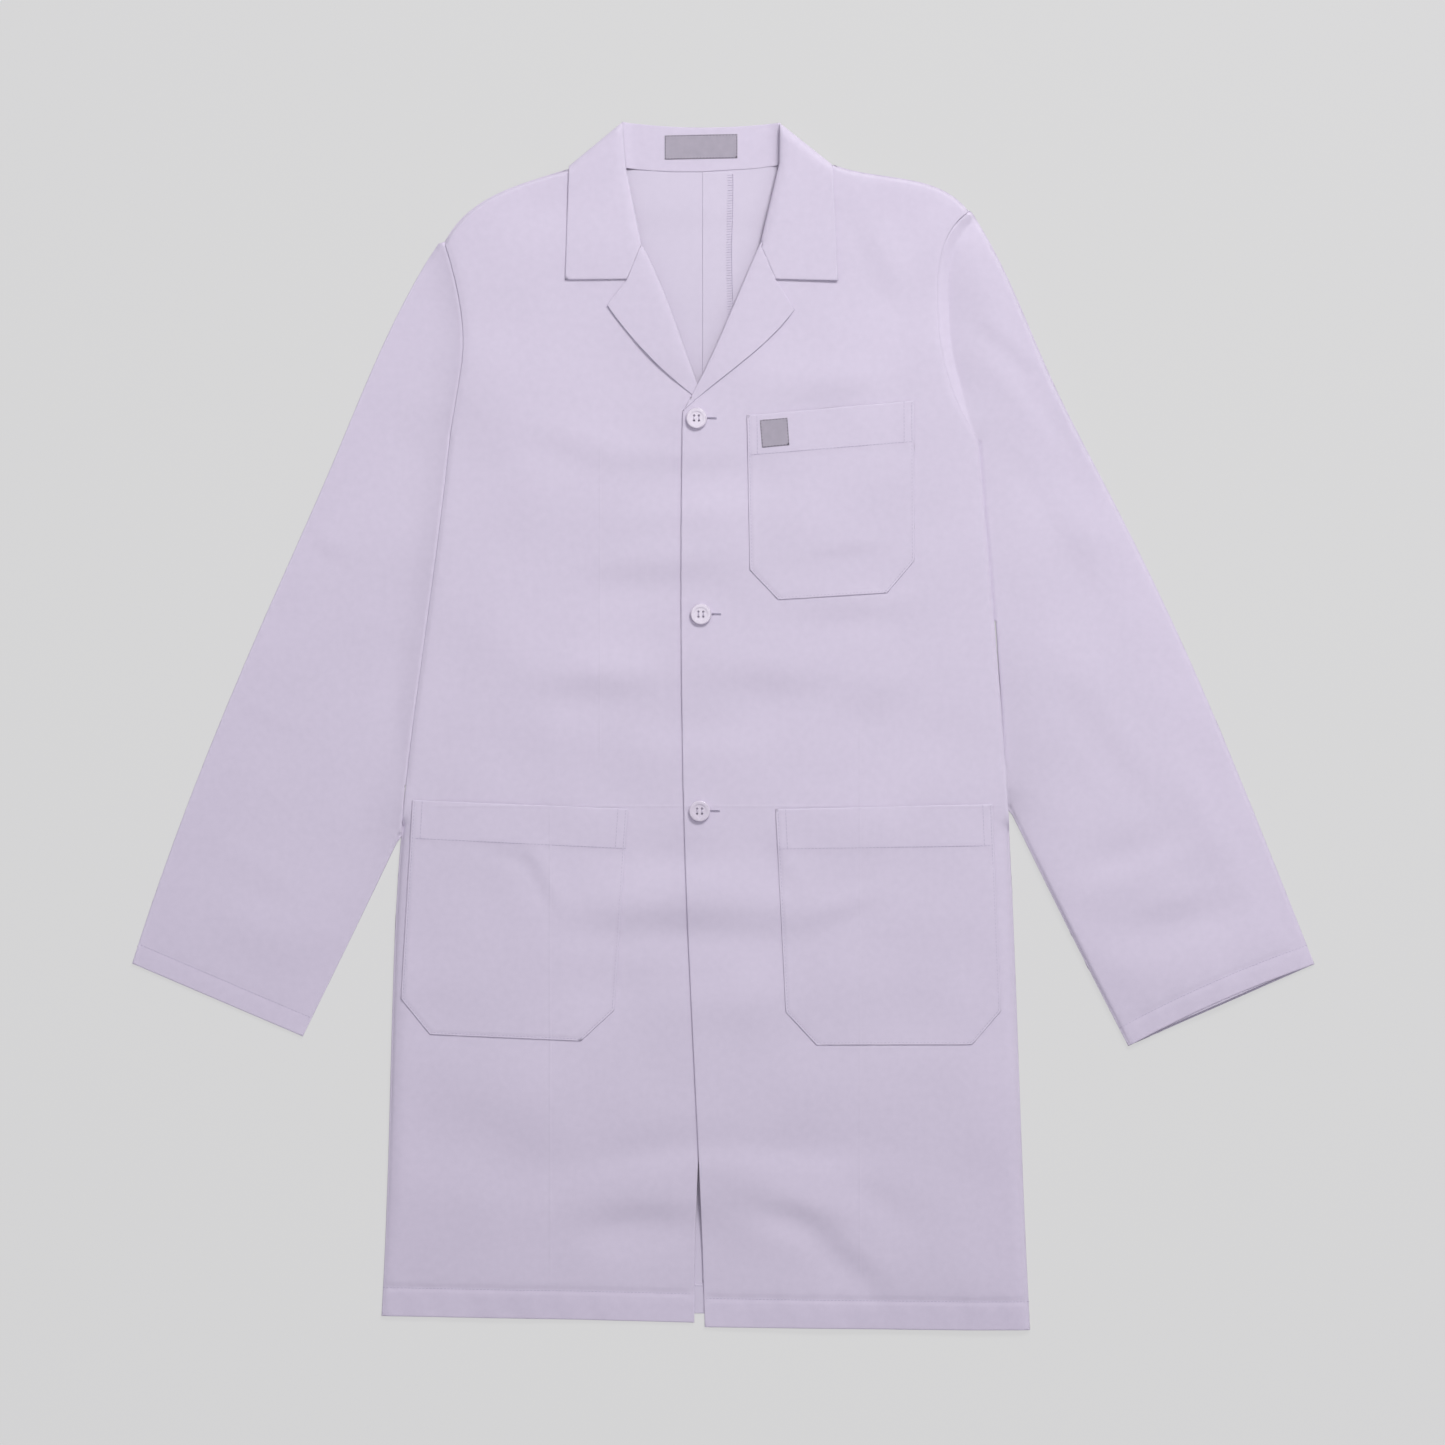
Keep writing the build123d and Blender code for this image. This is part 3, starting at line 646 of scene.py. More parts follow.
def cloth_material(name, colour, pitch=0.45 * MM, weave=0.25, sheen=0.25, mottle=0.035, creased=False):
    """Woven cloth: threads crossed at a pitch, uneven yarn, soft patches of tone and a light sheen, with
    painted shade in the colour between the threads.
    """
    look = Look(name)
    place = look.add("UVMap", {}, "UV", uv_map="cloth")
    wave = {"Vector": place, "Scale": 1 / pitch / 3.2, "Distortion": 0.4, "Detail": 1.0}
    warp, weft = (look.add("TexWave", wave, "Fac", bands_direction=axis) for axis in "XY")
    over = look.maths("MAXIMUM", warp, weft)
    yarn = look.noise(place, 900.0, 2.0)
    patches = look.maths("ADD", look.noise(place, 9.0, 3.0), look.noise(place, 160.0, 3.0))
    dark = [c * (1 - mottle) for c in colour[:2]] + [colour[2] * (1 - mottle * 0.8)]
    light = [min(1.0, c * (1 + mottle)) for c in colour]
    tone = look.mixed(look.mapped(patches, 0.0, 1.0, 0.6, 1.4), (*dark, 1), (*light, 1))
    folded = {"Normal": look.bump(crease_height(look, place), 1.0, WEAVE_DEPTH)} if creased else {}
    return look.finish({
        # Painted shade: the colour is darker where the threads lie low and a little lighter on the threads on
        # top.
        "Base Color": look.mixed(1.0, tone, look.mapped(over, 0.965, 1.015), blend_type="MULTIPLY"),
        "Roughness": look.mapped(yarn, 0.78, 0.92),
        "Normal": look.bump(look.maths("ADD", over, yarn), weave, WEAVE_DEPTH, **folded),
        "Sheen Weight": sheen, "Sheen Roughness": 0.5, "Specular IOR Level": 0.25,
    })


def thread_material(name, colour):
    """Twisted sewing thread, with painted shade in the grooves of its twist."""
    look = Look(name)
    wave = {"Vector": look.add("TexCoord", {}, "Object"), "Scale": 900.0, "Distortion": 1.5}
    twist = look.add("TexWave", wave, "Fac", bands_direction="DIAGONAL")
    return look.finish({
        # Painted shade: the colour is darker in the twist's grooves.
        "Base Color": look.mixed(1.0, (*colour, 1), look.mapped(twist, 0.85, 1.05), blend_type="MULTIPLY"),
        "Normal": look.bump(twist, 0.4, THREAD_DEPTH), "Roughness": 0.6, "Sheen Weight": 0.3,
    })


def button_material(name, colour):
    """Cast polyester: cloudy, softly pearly and polished."""
    look = Look(name)
    place = look.add("TexCoord", {}, "Object")
    cloud = look.noise(place, 240.0, 4.0, 1.2)
    light = [min(1.0, c * 1.06) for c in colour]
    dark = [c * 0.93 for c in colour]
    return look.finish({
        "Base Color": look.mixed(cloud, (*dark, 1), (*light, 1)),
        "Roughness": look.mapped(cloud, 0.2, 0.34),
        "Normal": look.bump(look.noise(place, 2600.0, 2.0), 0.04, THREAD_DEPTH),
        "Coat Weight": 0.35, "Subsurface Weight": 0.1, "Subsurface Radius": (2 * MM, 2 * MM, 2 * MM),
    })


COAT = cloth_material("coat_poly_cotton", (0.70, 0.64, 0.765), creased=True)
INSIDE = cloth_material("coat_poly_cotton_inside", (0.70, 0.645, 0.765), mottle=0.02)
LABEL = cloth_material(
    "woven_label", (0.44, 0.405, 0.47), pitch=0.35 * MM, weave=0.5, sheen=0.5, mottle=0.08,
)
THREAD = thread_material("coat_thread", (0.51, 0.465, 0.605))
DARK_THREAD = thread_material("label_thread", (0.03, 0.028, 0.045))
BUTTON = button_material("button_polyester", (0.72, 0.66, 0.76))
BUTTON_THREAD = thread_material("button_thread", (0.60, 0.55, 0.68))
OVERLOCK_THREAD = thread_material("overlock_thread", (0.60, 0.55, 0.685))


def stitched(name, path, cloth, radius=0.16 * MM, material=THREAD, **settings):
    """A row of stitches as a piece of its own."""
    thread = Thread()
    thread.row(path, cloth, radius=radius, **settings)
    return thread.show(name, material)


# --- The coat's body ---
def back_outline(node, outer):
    """The whole outline of a back panel: its floor, with the neck edge of the part over the collar."""
    floor, cover = outline(node, 0.0), outline(node, 2 * MM)
    low, high = cover.min(0), cover.max(0)
    cut_edge = 2 * MM
    beyond = floor[:, 0] > high[0] - cut_edge if outer > 0 else floor[:, 0] < low[0] + cut_edge
    kept, floor = started(beyond | (floor[:, 1] < low[1] + cut_edge / 2), floor)
    within = cover[:, 0] < high[0] - cut_edge if outer > 0 else cover[:, 0] > low[0] + cut_edge
    neck, cover = started(within & (cover[:, 1] > low[1] + 20 * MM), cover)
    return np.vstack([floor[kept], cover[neck]])


# Heights of the cloth, and the radii over which it rolls down at its edges.
SEAM_EDGE = 3.0 * MM  # upper cloth at the side seams
BACK_HEIGHT, BACK_SEAM_EDGE = 1.0 * MM, 2.4 * MM  # back in its middle and at the side seams
BACK_WAVINESS = 0.15
SIDE_ROLL, EDGE_ROLL = 12 * MM, 3 * MM
BACK_ROLL, UNDER_SLEEVE_ROLL = 14 * MM, 13 * MM
COLLAR_ROLL, OVER_ROLL, LAPEL_ROLL, STAND_ROLL = 8 * MM, 6 * MM, 7 * MM, 12 * MM
COLLAR_ROLL_DROP = 1.6 * MM  # of the collar's roll edge below the front
FALL_HEIGHT, STAND_HEIGHT, STAND_EDGE = 0.9 * MM, 1.6 * MM, 6.2 * MM  # the last where it turns up
LABEL_LIFT = 0.45 * MM
NECK_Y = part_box("collar_stand")[0].y
NECK_HUMP, FALL_RISE = 2.4 * MM, 1.2 * MM  # rise of the back inside the neck and over the collar's fall
COLLAR_LIFT, LAPEL_LIFT, FOOT_LIFT = 2.1 * MM, 1.8 * MM, 0.4 * MM  # above the front; the foot is the lapel's
COLLAR_OVER = 2.2 * MM  # height of the collar's upper face where it turns over to the back
STAND_OVERLAP = 2.0 * MM
LAYER, BACK_LAYER = 0.8 * MM, 0.5 * MM  # from a cloth's upper face to that of the layer below or above it
TURNED_THICKNESS = 1.1 * MM
BACK_EDGE = 0.2 * MM  # rounding of the back's turned edges

# The hem and the slit between the fronts.
HEM_DEPTH, CUFF_DEPTH = 25 * MM, 18 * MM  # places of the grooves along the stitches
ROW_INSET = 0.5 * MM  # from a groove to its row of stitches
HEM_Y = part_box("left_front_panel")[0].y
HEM_SAG, HEM_SAG_LENGTH = 4.0 * MM, 250 * MM
HEM_TURN, HEM_TURN_LENGTH = 1.6 * MM, 26 * MM  # further fall over the hem itself
HEM_GROOVE, HEM_GROOVE_DEPTH = 2.8 * MM, 0.7 * MM
PUCKER, PUCKER_LENGTH, PUCKER_REACH = 0.4 * MM, 29 * MM, 11 * MM  # small pulls along the hem's stitches
SLIT_TOP_Y, SLIT_SAG_LENGTH, SLIT_SAG_REACH = -0.368, 90 * MM, 70 * MM

# The sleeves' fall below the body.
SEAM_RIDGE = 9 * MM  # strip of sleeve over the armhole's seam allowance
FALL_EASE = 15 * MM  # how far from the armhole the fall fades
ARMHOLE_DIP, ARMHOLE_RISE, RISE_REACH = 4.8 * MM, 1.6 * MM, 50 * MM
UPPER_Y, UPPER_LENGTH = 0.24, 0.06  # where the dip deepens towards the shoulder
OUTER_FALL, OUTER_START, OUTER_REACH = 2.2 * MM, 60 * MM, 120 * MM
UNDERARM_FALL, UNDERARM_Y, UNDERARM_LENGTH = 4.2 * MM, 0.3, 0.1
RIGHT_FALL, CUFF_FALL, END_EASE = 5.6 * MM, 2.2 * MM, 32 * MM

# A buttonhole: from the button's centre to both ends of its slit, and half the slit's width.
SLIT_START, SLIT_END, SLIT_HALF = -2 * MM, 16.0 * MM, 0.22 * MM
HOLE_SPACING = 4.2 * MM  # between the four holes of a button


def pulls(along, across):
    """Small even pulls of the cloth beside a row of stitches."""
    wave = np.sin(2 * math.pi * along / PUCKER_LENGTH + 1.7 * np.sin(along / (53 * MM)))
    return PUCKER * wave * np.exp(-((across / PUCKER_REACH) ** 2))


def hem_sag(points):
    """The fronts lie lower towards the hem, with small pulls along its stitches."""
    above = points[:, 1] - HEM_Y
    sag = HEM_SAG * smooth(1 - above / HEM_SAG_LENGTH) + HEM_TURN * np.exp(-above / HEM_TURN_LENGTH)
    return pulls(points[:, 0], above - 20 * MM) - sag


def beside_slit(points):
    """How far the fronts sink onto the back beside the slit between them, from 0 to 1."""
    near = np.exp(-(((points[:, 0] - CENTRE_BACK_X) / SLIT_SAG_REACH) ** 2))
    return near * smooth((SLIT_TOP_Y - points[:, 1]) / SLIT_SAG_LENGTH)


def neck_hump(points):
    """The back lies over the turned-down collar and stands up a little inside the neck."""
    x, y = points[:, 0] - CENTRE_BACK_X, points[:, 1]
    over = smooth((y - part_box("collar_fall")[0].y + 12 * MM) / (20 * MM))
    over *= smooth((125 * MM - np.abs(x)) / (20 * MM))
    middle = np.exp(-((x / (48 * MM)) ** 2) - ((y - NECK_Y + 70 * MM) / (75 * MM)) ** 2)
    return FALL_RISE * over + NECK_HUMP * middle


def slit(centre):
    """Outline of the real buttonhole: a narrow slit that starts under the button."""
    start, end, y, half = centre[0] + SLIT_START, centre[0] + SLIT_END, centre[1], SLIT_HALF
    return np.array([(start, y - half), (end, y - half), (end + half, y), (end, y + half), (start, y + half)])


MOVING_NODE = {
    "left_front": "left_front_panel", "right_front": "right_front_panel",
    "left_sleeve": "left_top_sleeve", "right_sleeve": "right_top_sleeve",
}


def bend(piece, joint_name):
    """A piece with its placement baked into its mesh; the side of the joint's fold line where the moving part
    lies is found, but the piece is not bent.
    """
    joint = JOINTS[joint_name]
    along = Vector((*joint["axis"][:2], 0))
    across = Vector((-along.y, along.x, 0)) * FOLD_HALF_WIDTH
    origin = Vector(joint["pos_m"])
    child_low, child_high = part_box(MOVING_NODE[joint_name])
    if ((child_low + child_high) / 2 - origin).dot(across) < 0:
        across = -across
    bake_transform(piece)


class Side:
    """What is made alike on the wearer's left and right.

    edge_drop is the fall of the body's edge beside the sleeve and seam_step that of the sleeve below it.
    armhole_groove is the half width and depth of the groove along the armhole, cuff_groove the depth of the
    cuff's, and slit_sag the fall of the front beside the slit below the buttons.
    """

    def __init__(self, name, outer, edge_drop, seam_step, armhole_groove, cuff_groove, slit_sag):
        self.name, self.outer = name, outer
        self.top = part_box(f"{name}_front_panel")[1].z
        self.touching_edge, self.seam_step = self.top - edge_drop, seam_step
        self.armhole_groove, self.cuff_groove, self.slit_sag = armhole_groove, cuff_groove, slit_sag
        self.front_joint, self.sleeve_joint = f"{name}_front", f"{name}_sleeve"
        back_seams = closed_paths(level_loops(f"{name}_back_panel"))
        self.seams = sorted(back_seams, key=lambda path: path[:, 1].max())
        side_seam, self.shoulder_seam = self.seams
        beside_sleeve = side_seam[:, 1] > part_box(f"{name}_top_sleeve")[0].y + 190 * MM
        self.touching_seam, self.free_seam = side_seam[beside_sleeve], side_seam[~beside_sleeve]
        self.sleeve_seams = closed_paths(level_loops(f"{name}_under_sleeve"))
        self.front_outline = self.whole("front_panel", "front_side", self.front_joint)
        self.sleeve_outline = self.whole("top_sleeve", "sleeve_cap_top", self.sleeve_joint)
        self.under_outline = self.whole("under_sleeve", "sleeve_cap_under", self.sleeve_joint, 0.0)
        self.slits = [slit(centre) for centre in BUTTON_CENTRES] if outer > 0 else []
        self.back = Cloth(
            back_outline(f"{name}_back_panel", outer), BACK_HEIGHT, waviness=BACK_WAVINESS,
            rolls=[(self.seams, BACK_ROLL, BACK_SEAM_EDGE)], raised=neck_hump, edge=0.15 * MM,
        )
        self.front = self.make_front()
        self.sleeve = self.make_sleeve()

    def nodes(self, *kinds):
        return [f"{self.name}_{kind}" for kind in kinds]

    def whole(self, first, second, joint_name, height=None):
        """One outline for two nodes of the same cloth that meet along a fold line."""
        return joined(*(outline(node, height) for node in self.nodes(first, second)), joint_name)

    def touching_height(self, points):
        """Height of the body's edge beside the sleeve, which comes down to the free side seam."""
        share = smooth(distance(points, [self.free_seam]) / (45 * MM))
        return SEAM_EDGE + (self.touching_edge - SEAM_EDGE) * share

    def make_front(self):
        return Cloth(
            self.front_outline, self.top, waviness=1.0, least=LEAST_TOP, holes=self.slits,
            rolls=[
                ([self.free_seam], SIDE_ROLL, SEAM_EDGE),
                ([self.touching_seam], EDGE_ROLL, self.touching_height),
                ([self.shoulder_seam], EDGE_ROLL, SEAM_EDGE),
            ],
            dips=[
                ([closed_path(self.sleeve_outline)], *self.armhole_groove),
                ([lower_line(self.front_outline, HEM_DEPTH)], HEM_GROOVE, HEM_GROOVE_DEPTH),
            ],
            raised=lambda p: hem_sag(p) - self.slit_sag * beside_slit(p),
        )

    def armhole_fall(self, points):
        """How far the sleeve sinks away from the body's seam, below the step at the seam itself."""
        reach = distance(points, [closed_path(self.front_outline)])
        if self.outer < 0:
            return RIGHT_FALL * (1 - np.exp(-reach / FALL_EASE))
        y = points[:, 1]
        upper = smooth((y - UPPER_Y) / UPPER_LENGTH)
        ridge = SEAM_RIDGE * np.maximum(upper, 0.1)
        dip = np.clip(reach / ridge, 0, 1) * np.exp(-np.maximum(reach - ridge, 0) / FALL_EASE)
        fall = ARMHOLE_DIP * dip * (0.3 + 0.7 * upper) - ARMHOLE_RISE * smooth(reach / RISE_REACH)
        fall += OUTER_FALL * smooth((reach - OUTER_START) / OUTER_REACH)
        beside_seam = np.exp(-distance(points, self.sleeve_seams) / END_EASE)
        return fall + UNDERARM_FALL * beside_seam * smooth((UNDERARM_Y - y) / UNDERARM_LENGTH)

    def make_sleeve(self):
        cuff, cuff_end = self.cuff_line(CUFF_DEPTH), self.cuff_line(0)

        def raised(points):
            fall = self.seam_step + self.armhole_fall(points)
            fall += CUFF_FALL * np.exp(-distance(points, [cuff_end]) / END_EASE)
            return pulls(points[:, 0] * 1.1, distance(points, [cuff])) - fall

        return Cloth(
            tucked_below(self.sleeve_outline, self.front_outline), self.top, waviness=1.0,
            rolls=[
                (self.sleeve_seams, EDGE_ROLL, SEAM_EDGE),
                ([self.touching_seam], EDGE_ROLL, lambda p: self.touching_height(p) - self.seam_step),
                ([self.shoulder_seam], EDGE_ROLL, SEAM_EDGE),
            ],
            dips=[
                ([closed_path(self.front_outline)], 1.0 * MM, 0.6 * MM),
                ([cuff], HEM_GROOVE, self.cuff_groove),
            ],
            raised=raised, calm=25 * MM, over=self.front, least=LEAST_TOP,
        )

    def cuff_line(self, depth):
        """A line across the sleeve, some way above its end."""
        loop = self.sleeve_outline
        outer = furthest(loop, self.outer, -0.25)
        inner = furthest(loop, self.outer * 0.2, -1)
        path = between(loop, inner, outer) if self.outer > 0 else between(loop, outer, inner)
        return inset(path, depth)


LEFT = Side(
    "left", 1, edge_drop=3.2 * MM, seam_step=1.2 * MM, armhole_groove=(2.2 * MM, 0.6 * MM),
    cuff_groove=0.45 * MM, slit_sag=3.2 * MM,
)
RIGHT = Side(
    "right", -1, edge_drop=0.8 * MM, seam_step=1.3 * MM, armhole_groove=(3.6 * MM, 0.9 * MM),
    cuff_groove=0.2 * MM, slit_sag=1.5 * MM,
)
SIDES = (LEFT, RIGHT)


def back_surface(points):
    """Height of the back's upper face, on either side of the centre seam."""
    points = np.asarray(points, float)
    on_left = points[:, 0] > CENTRE_BACK_X
    return np.where(on_left, LEFT.back.surface(points), RIGHT.back.surface(points))


def inner_layer(name, loop, upper, nodes, joint_name, rests_on, holes=(), **settings):
    """A layer inside the coat that follows the cloth above it and rides with a joint's part."""
    cloth = Cloth(loop, lambda p: upper.surface(p) - LAYER, holes=holes)
    made = sheet(name, cloth, INSIDE, nodes, rests_on=rests_on, thickness=INNER_THICKNESS, **settings)
    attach(made, joint_name)


def make_body(side):
    back = sheet(f"{side.name}_back", side.back, INSIDE, side.nodes("back_panel"), rests_on=["collar_fall"])
    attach(back, "coat")
    front = sheet(
        f"{side.name}_front_cloth", side.front, COAT, side.nodes("front_panel", "front_side"),
        spacing=6 * MM, rests_on=[back.name], offsets=FINE_RINGS, fold=side.front_joint,
    )
    bend(front, side.front_joint)
    inner_layer(
        f"{side.name}_facing_cloth", outline(f"{side.name}_facing"), side.front,
        side.nodes("facing", "interlining"), side.front_joint, [front.name], holes=side.slits,
    )
    inner_layer(
        f"{side.name}_hem_cloth", outline(f"{side.name}_front_hem"), side.front,
        side.nodes("front_hem"), side.front_joint, [front.name], held="folded", offsets=NARROW_RINGS,
    )
    path = lower_line(side.front_outline, HEM_DEPTH - ROW_INSET)
    bend(stitched(f"{side.name}_hem_stitching", path, side.front), side.front_joint)


def make_sleeves(side):
    under = Cloth(
        side.under_outline, BACK_HEIGHT, waviness=BACK_WAVINESS,
        rolls=[(side.sleeve_seams + side.seams, UNDER_SLEEVE_ROLL, BACK_SEAM_EDGE)],
    )
    lower = sheet(
        f"{side.name}_under_sleeve_cloth", under, INSIDE, side.nodes("under_sleeve", "sleeve_cap_under"),
        fold=side.sleeve_joint,
    )
    bend(lower, side.sleeve_joint)
    top = sheet(
        f"{side.name}_top_sleeve_cloth", side.sleeve, COAT, side.nodes("top_sleeve", "sleeve_cap_top"),
        spacing=6 * MM, rests_on=[lower.name], offsets=SLEEVE_RINGS, fold=side.sleeve_joint,
    )
    bend(top, side.sleeve_joint)
    inner_layer(
        f"{side.name}_cuff_hem_cloth", outline(f"{side.name}_cuff_hem", 1.6 * MM), side.sleeve,
        side.nodes("cuff_hem"), side.sleeve_joint, [top.name], held="folded", offsets=NARROW_RINGS,
    )
    path = side.cuff_line(CUFF_DEPTH - ROW_INSET)
    bend(stitched(f"{side.name}_cuff_stitching", path, side.sleeve), side.sleeve_joint)


# --- Collar and lapels ---
def stacked(lower, upper):
    """One outline for a lower and an upper piece that meet along a level line."""
    gap = 1.3 * MM
    below, lower = started(lower[:, 1] <= lower[:, 1].max() - gap, lower)
    at_base = upper[:, 1] < upper[:, 1].min() + gap
    first = int(np.argmax(np.where(at_base, upper[:, 0], -np.inf)))
    return np.vstack([lower[: int(np.sum(below))], np.roll(upper, -first, axis=0)])


def leaf(side, name, cloth, *kinds):
    """A turned layer of the collar or a lapel, on a front."""
    return sheet(
        f"{side.name}_{name}", cloth, COAT, side.nodes(*kinds), spacing=4 * MM,
        thickness=TURNED_THICKNESS, held="folded", rests_on=[f"{side.name}_front_cloth"],
    )


def make_collar(side):
    lower, turn = outline(f"{side.name}_upper_collar"), outline(f"{side.name}_collar_turn")
    loop = stacked(lower, turn)
    gorge = furthest(loop, -side.outer, 0)
    neck = furthest(lower, -side.outer, 1)
    peak = furthest(turn, 0, 1)
    shoulder = furthest(turn, side.outer, 0.2)
    roll, over = np.array([gorge, neck, peak]), np.array([peak, shoulder])
    collar = Cloth(
        loop, side.top + COLLAR_LIFT, waviness=0.5, edge=0.6 * MM,
        rolls=[([roll], COLLAR_ROLL, side.top - COLLAR_ROLL_DROP), ([over], OVER_ROLL, COLLAR_OVER)],
    )
    made = leaf(side, "collar", collar, "upper_collar", "under_collar", "collar_turn")
    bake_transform(made)


def make_lapel(side):
    loop = outline(f"{side.name}_lapel_facing")
    gorge, tip = furthest(loop, 0, 1), furthest(loop, 0, -1)
    roll = between(loop, gorge, tip)
    if side.outer < 0:
        # The right lapel rolls from its foot, below the other front, up to the collar.
        foot = tip + np.array([14 * MM, -12 * MM])
        roll = between(side.front_outline, foot, gorge)
        loop = np.vstack([between(loop, gorge, tip), roll[:-1]])

    def lie(points):
        """The lapel lies flatter at its foot, where the other front covers it."""
        above = smooth((points[:, 1] - tip[1] - 5 * MM) / (30 * MM))
        return side.top + FOOT_LIFT + (LAPEL_LIFT - FOOT_LIFT) * above

    roll_height = side.top + FOOT_LIFT - 0.1 * MM
    lapel = Cloth(loop, lie, rolls=[([roll], LAPEL_ROLL, roll_height)], waviness=0.6, edge=0.3 * MM)
    made = leaf(side, "lapel", lapel, "lapel_facing", "lapel_under")
    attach(made, side.front_joint)


def stand_sides():
    """The rolls beside the neck, where the collar stand turns up into the collar leaves."""
    turns = [(outline(f"{side.name}_collar_turn"), side.outer) for side in SIDES]
    return [np.array([furthest(turn, -outer, -1), furthest(turn, 0, 1)]) for turn, outer in turns]


def make_stand():
    fall = Cloth(outline("collar_fall"), FALL_HEIGHT, edge=0.3 * MM)
    made = sheet("collar_fall_cloth", fall, COAT, ["collar_fall"], thickness=0.7 * MM, held="folded")
    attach(made, "coat")
    loop = outline("collar_stand")
    offset = loop[:, 0] - CENTRE_BACK_X
    sides = np.where(np.abs(offset) > 60 * MM, np.sign(offset), 0)
    foot = loop[:, 1] < loop[:, 1].min() + 10 * MM
    loop = loop + np.column_stack([sides * 0.8, -foot.astype(float)]) * STAND_OVERLAP
    stand = Cloth(
        loop, STAND_HEIGHT, rolls=[(stand_sides(), STAND_ROLL, STAND_EDGE)],
        waviness=0.1, raised=neck_hump, edge=0.3 * MM,
    )
    made = sheet(
        "collar_stand_cloth", stand, COAT, ["collar_stand", "collar_interlining"], spacing=4 * MM,
        thickness=0.6 * MM, held="folded", rests_on=["collar_fall_cloth"],
    )
    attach(made, "coat")
    make_label("neck_label", stand, made.name, "coat", 0.7 * MM)


def make_label(node, under, under_name, body, inset_by):
    """A woven label sewn down all round, with no lettering."""
    loop = outline(node)
    label = Cloth(loop, lambda p: under.surface(p) + LABEL_LIFT, edge=0.15 * MM)
    made = sheet(
        f"{node}_cloth", label, LABEL, [node], spacing=2.5 * MM, thickness=0.35 * MM, slot="label",
        rests_on=[under_name], offsets=EDGE_RINGS[:2],
    )
    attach(made, body)
    border = inset(closed_path(corners(loop)), inset_by)
    row = stitched(
        f"{node}_stitching", border, label, 0.27 * MM, DARK_THREAD, length=1.5 * MM, gap=1.2 * MM,
    )
    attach(row, body)


# --- Back seam, hem and their threads ---
def on_back(name, loop, node, rests_on, **settings):
    """A turned strip that lies on the back, inside the coat."""
    cloth = Cloth(loop, lambda p: back_surface(p) + BACK_LAYER, edge=BACK_EDGE)
    made = sheet(
        name, cloth, INSIDE, [node], spacing=6 * MM, thickness=INNER_THICKNESS, held="folded",
        rests_on=rests_on, **settings,
    )
    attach(made, "coat")
    return cloth


def make_back_seam():
    low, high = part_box("centre_back_allowance")
    top = NECK_Y - 2.2 * MM
    ys = np.linspace(low.y, top, 240)
    waver = np.sin(ys / (17 * MM)) + 0.7 * np.sin(ys / (41 * MM) + 1.0)
    edge_x = high.x + 0.5 * MM * waver
    seam_x = CENTRE_BACK_X - 0.6 * MM
    loop = np.vstack([[(seam_x, low.y)], np.column_stack([edge_x, ys]), [(seam_x, top)]])
    allowance = on_back("centre_back_allowance_cloth", loop, "centre_back_allowance", ["left_back"])
    overlock = Thread()
    pitch, reach, bite = 2.2 * MM, 5.0 * MM, 0.5 * MM
    steps = np.arange(low.y + pitch, top - pitch, pitch)
    edge = np.interp(steps, ys, edge_x)
    inner = np.column_stack([edge - reach, steps])
    outer = np.column_stack([edge + 0.2 * MM, steps + bite])
    heights = allowance.surface(inner), allowance.surface(outer - [1.2 * MM, 0])
    half = np.array([0, pitch / 2])
    for a, b, inner_z, outer_z in zip(inner, outer, *heights):
        overlock.add((*a, inner_z), (*b, outer_z), 0.26 * MM, lift=0.1 * MM)
        overlock.add((*(b - half), outer_z), (*(b + half), outer_z), 0.32 * MM)
    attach(overlock.show("overlock_thread", OVERLOCK_THREAD), "coat")


def make_back_hem():
    loop = outline("back_hem")
    hem = on_back("back_hem_cloth", loop, "back_hem", ["left_back", "right_back"], offsets=NARROW_RINGS)
    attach(stitched("back_hem_stitching", lower_line(loop, 23.5 * MM), hem), "coat")


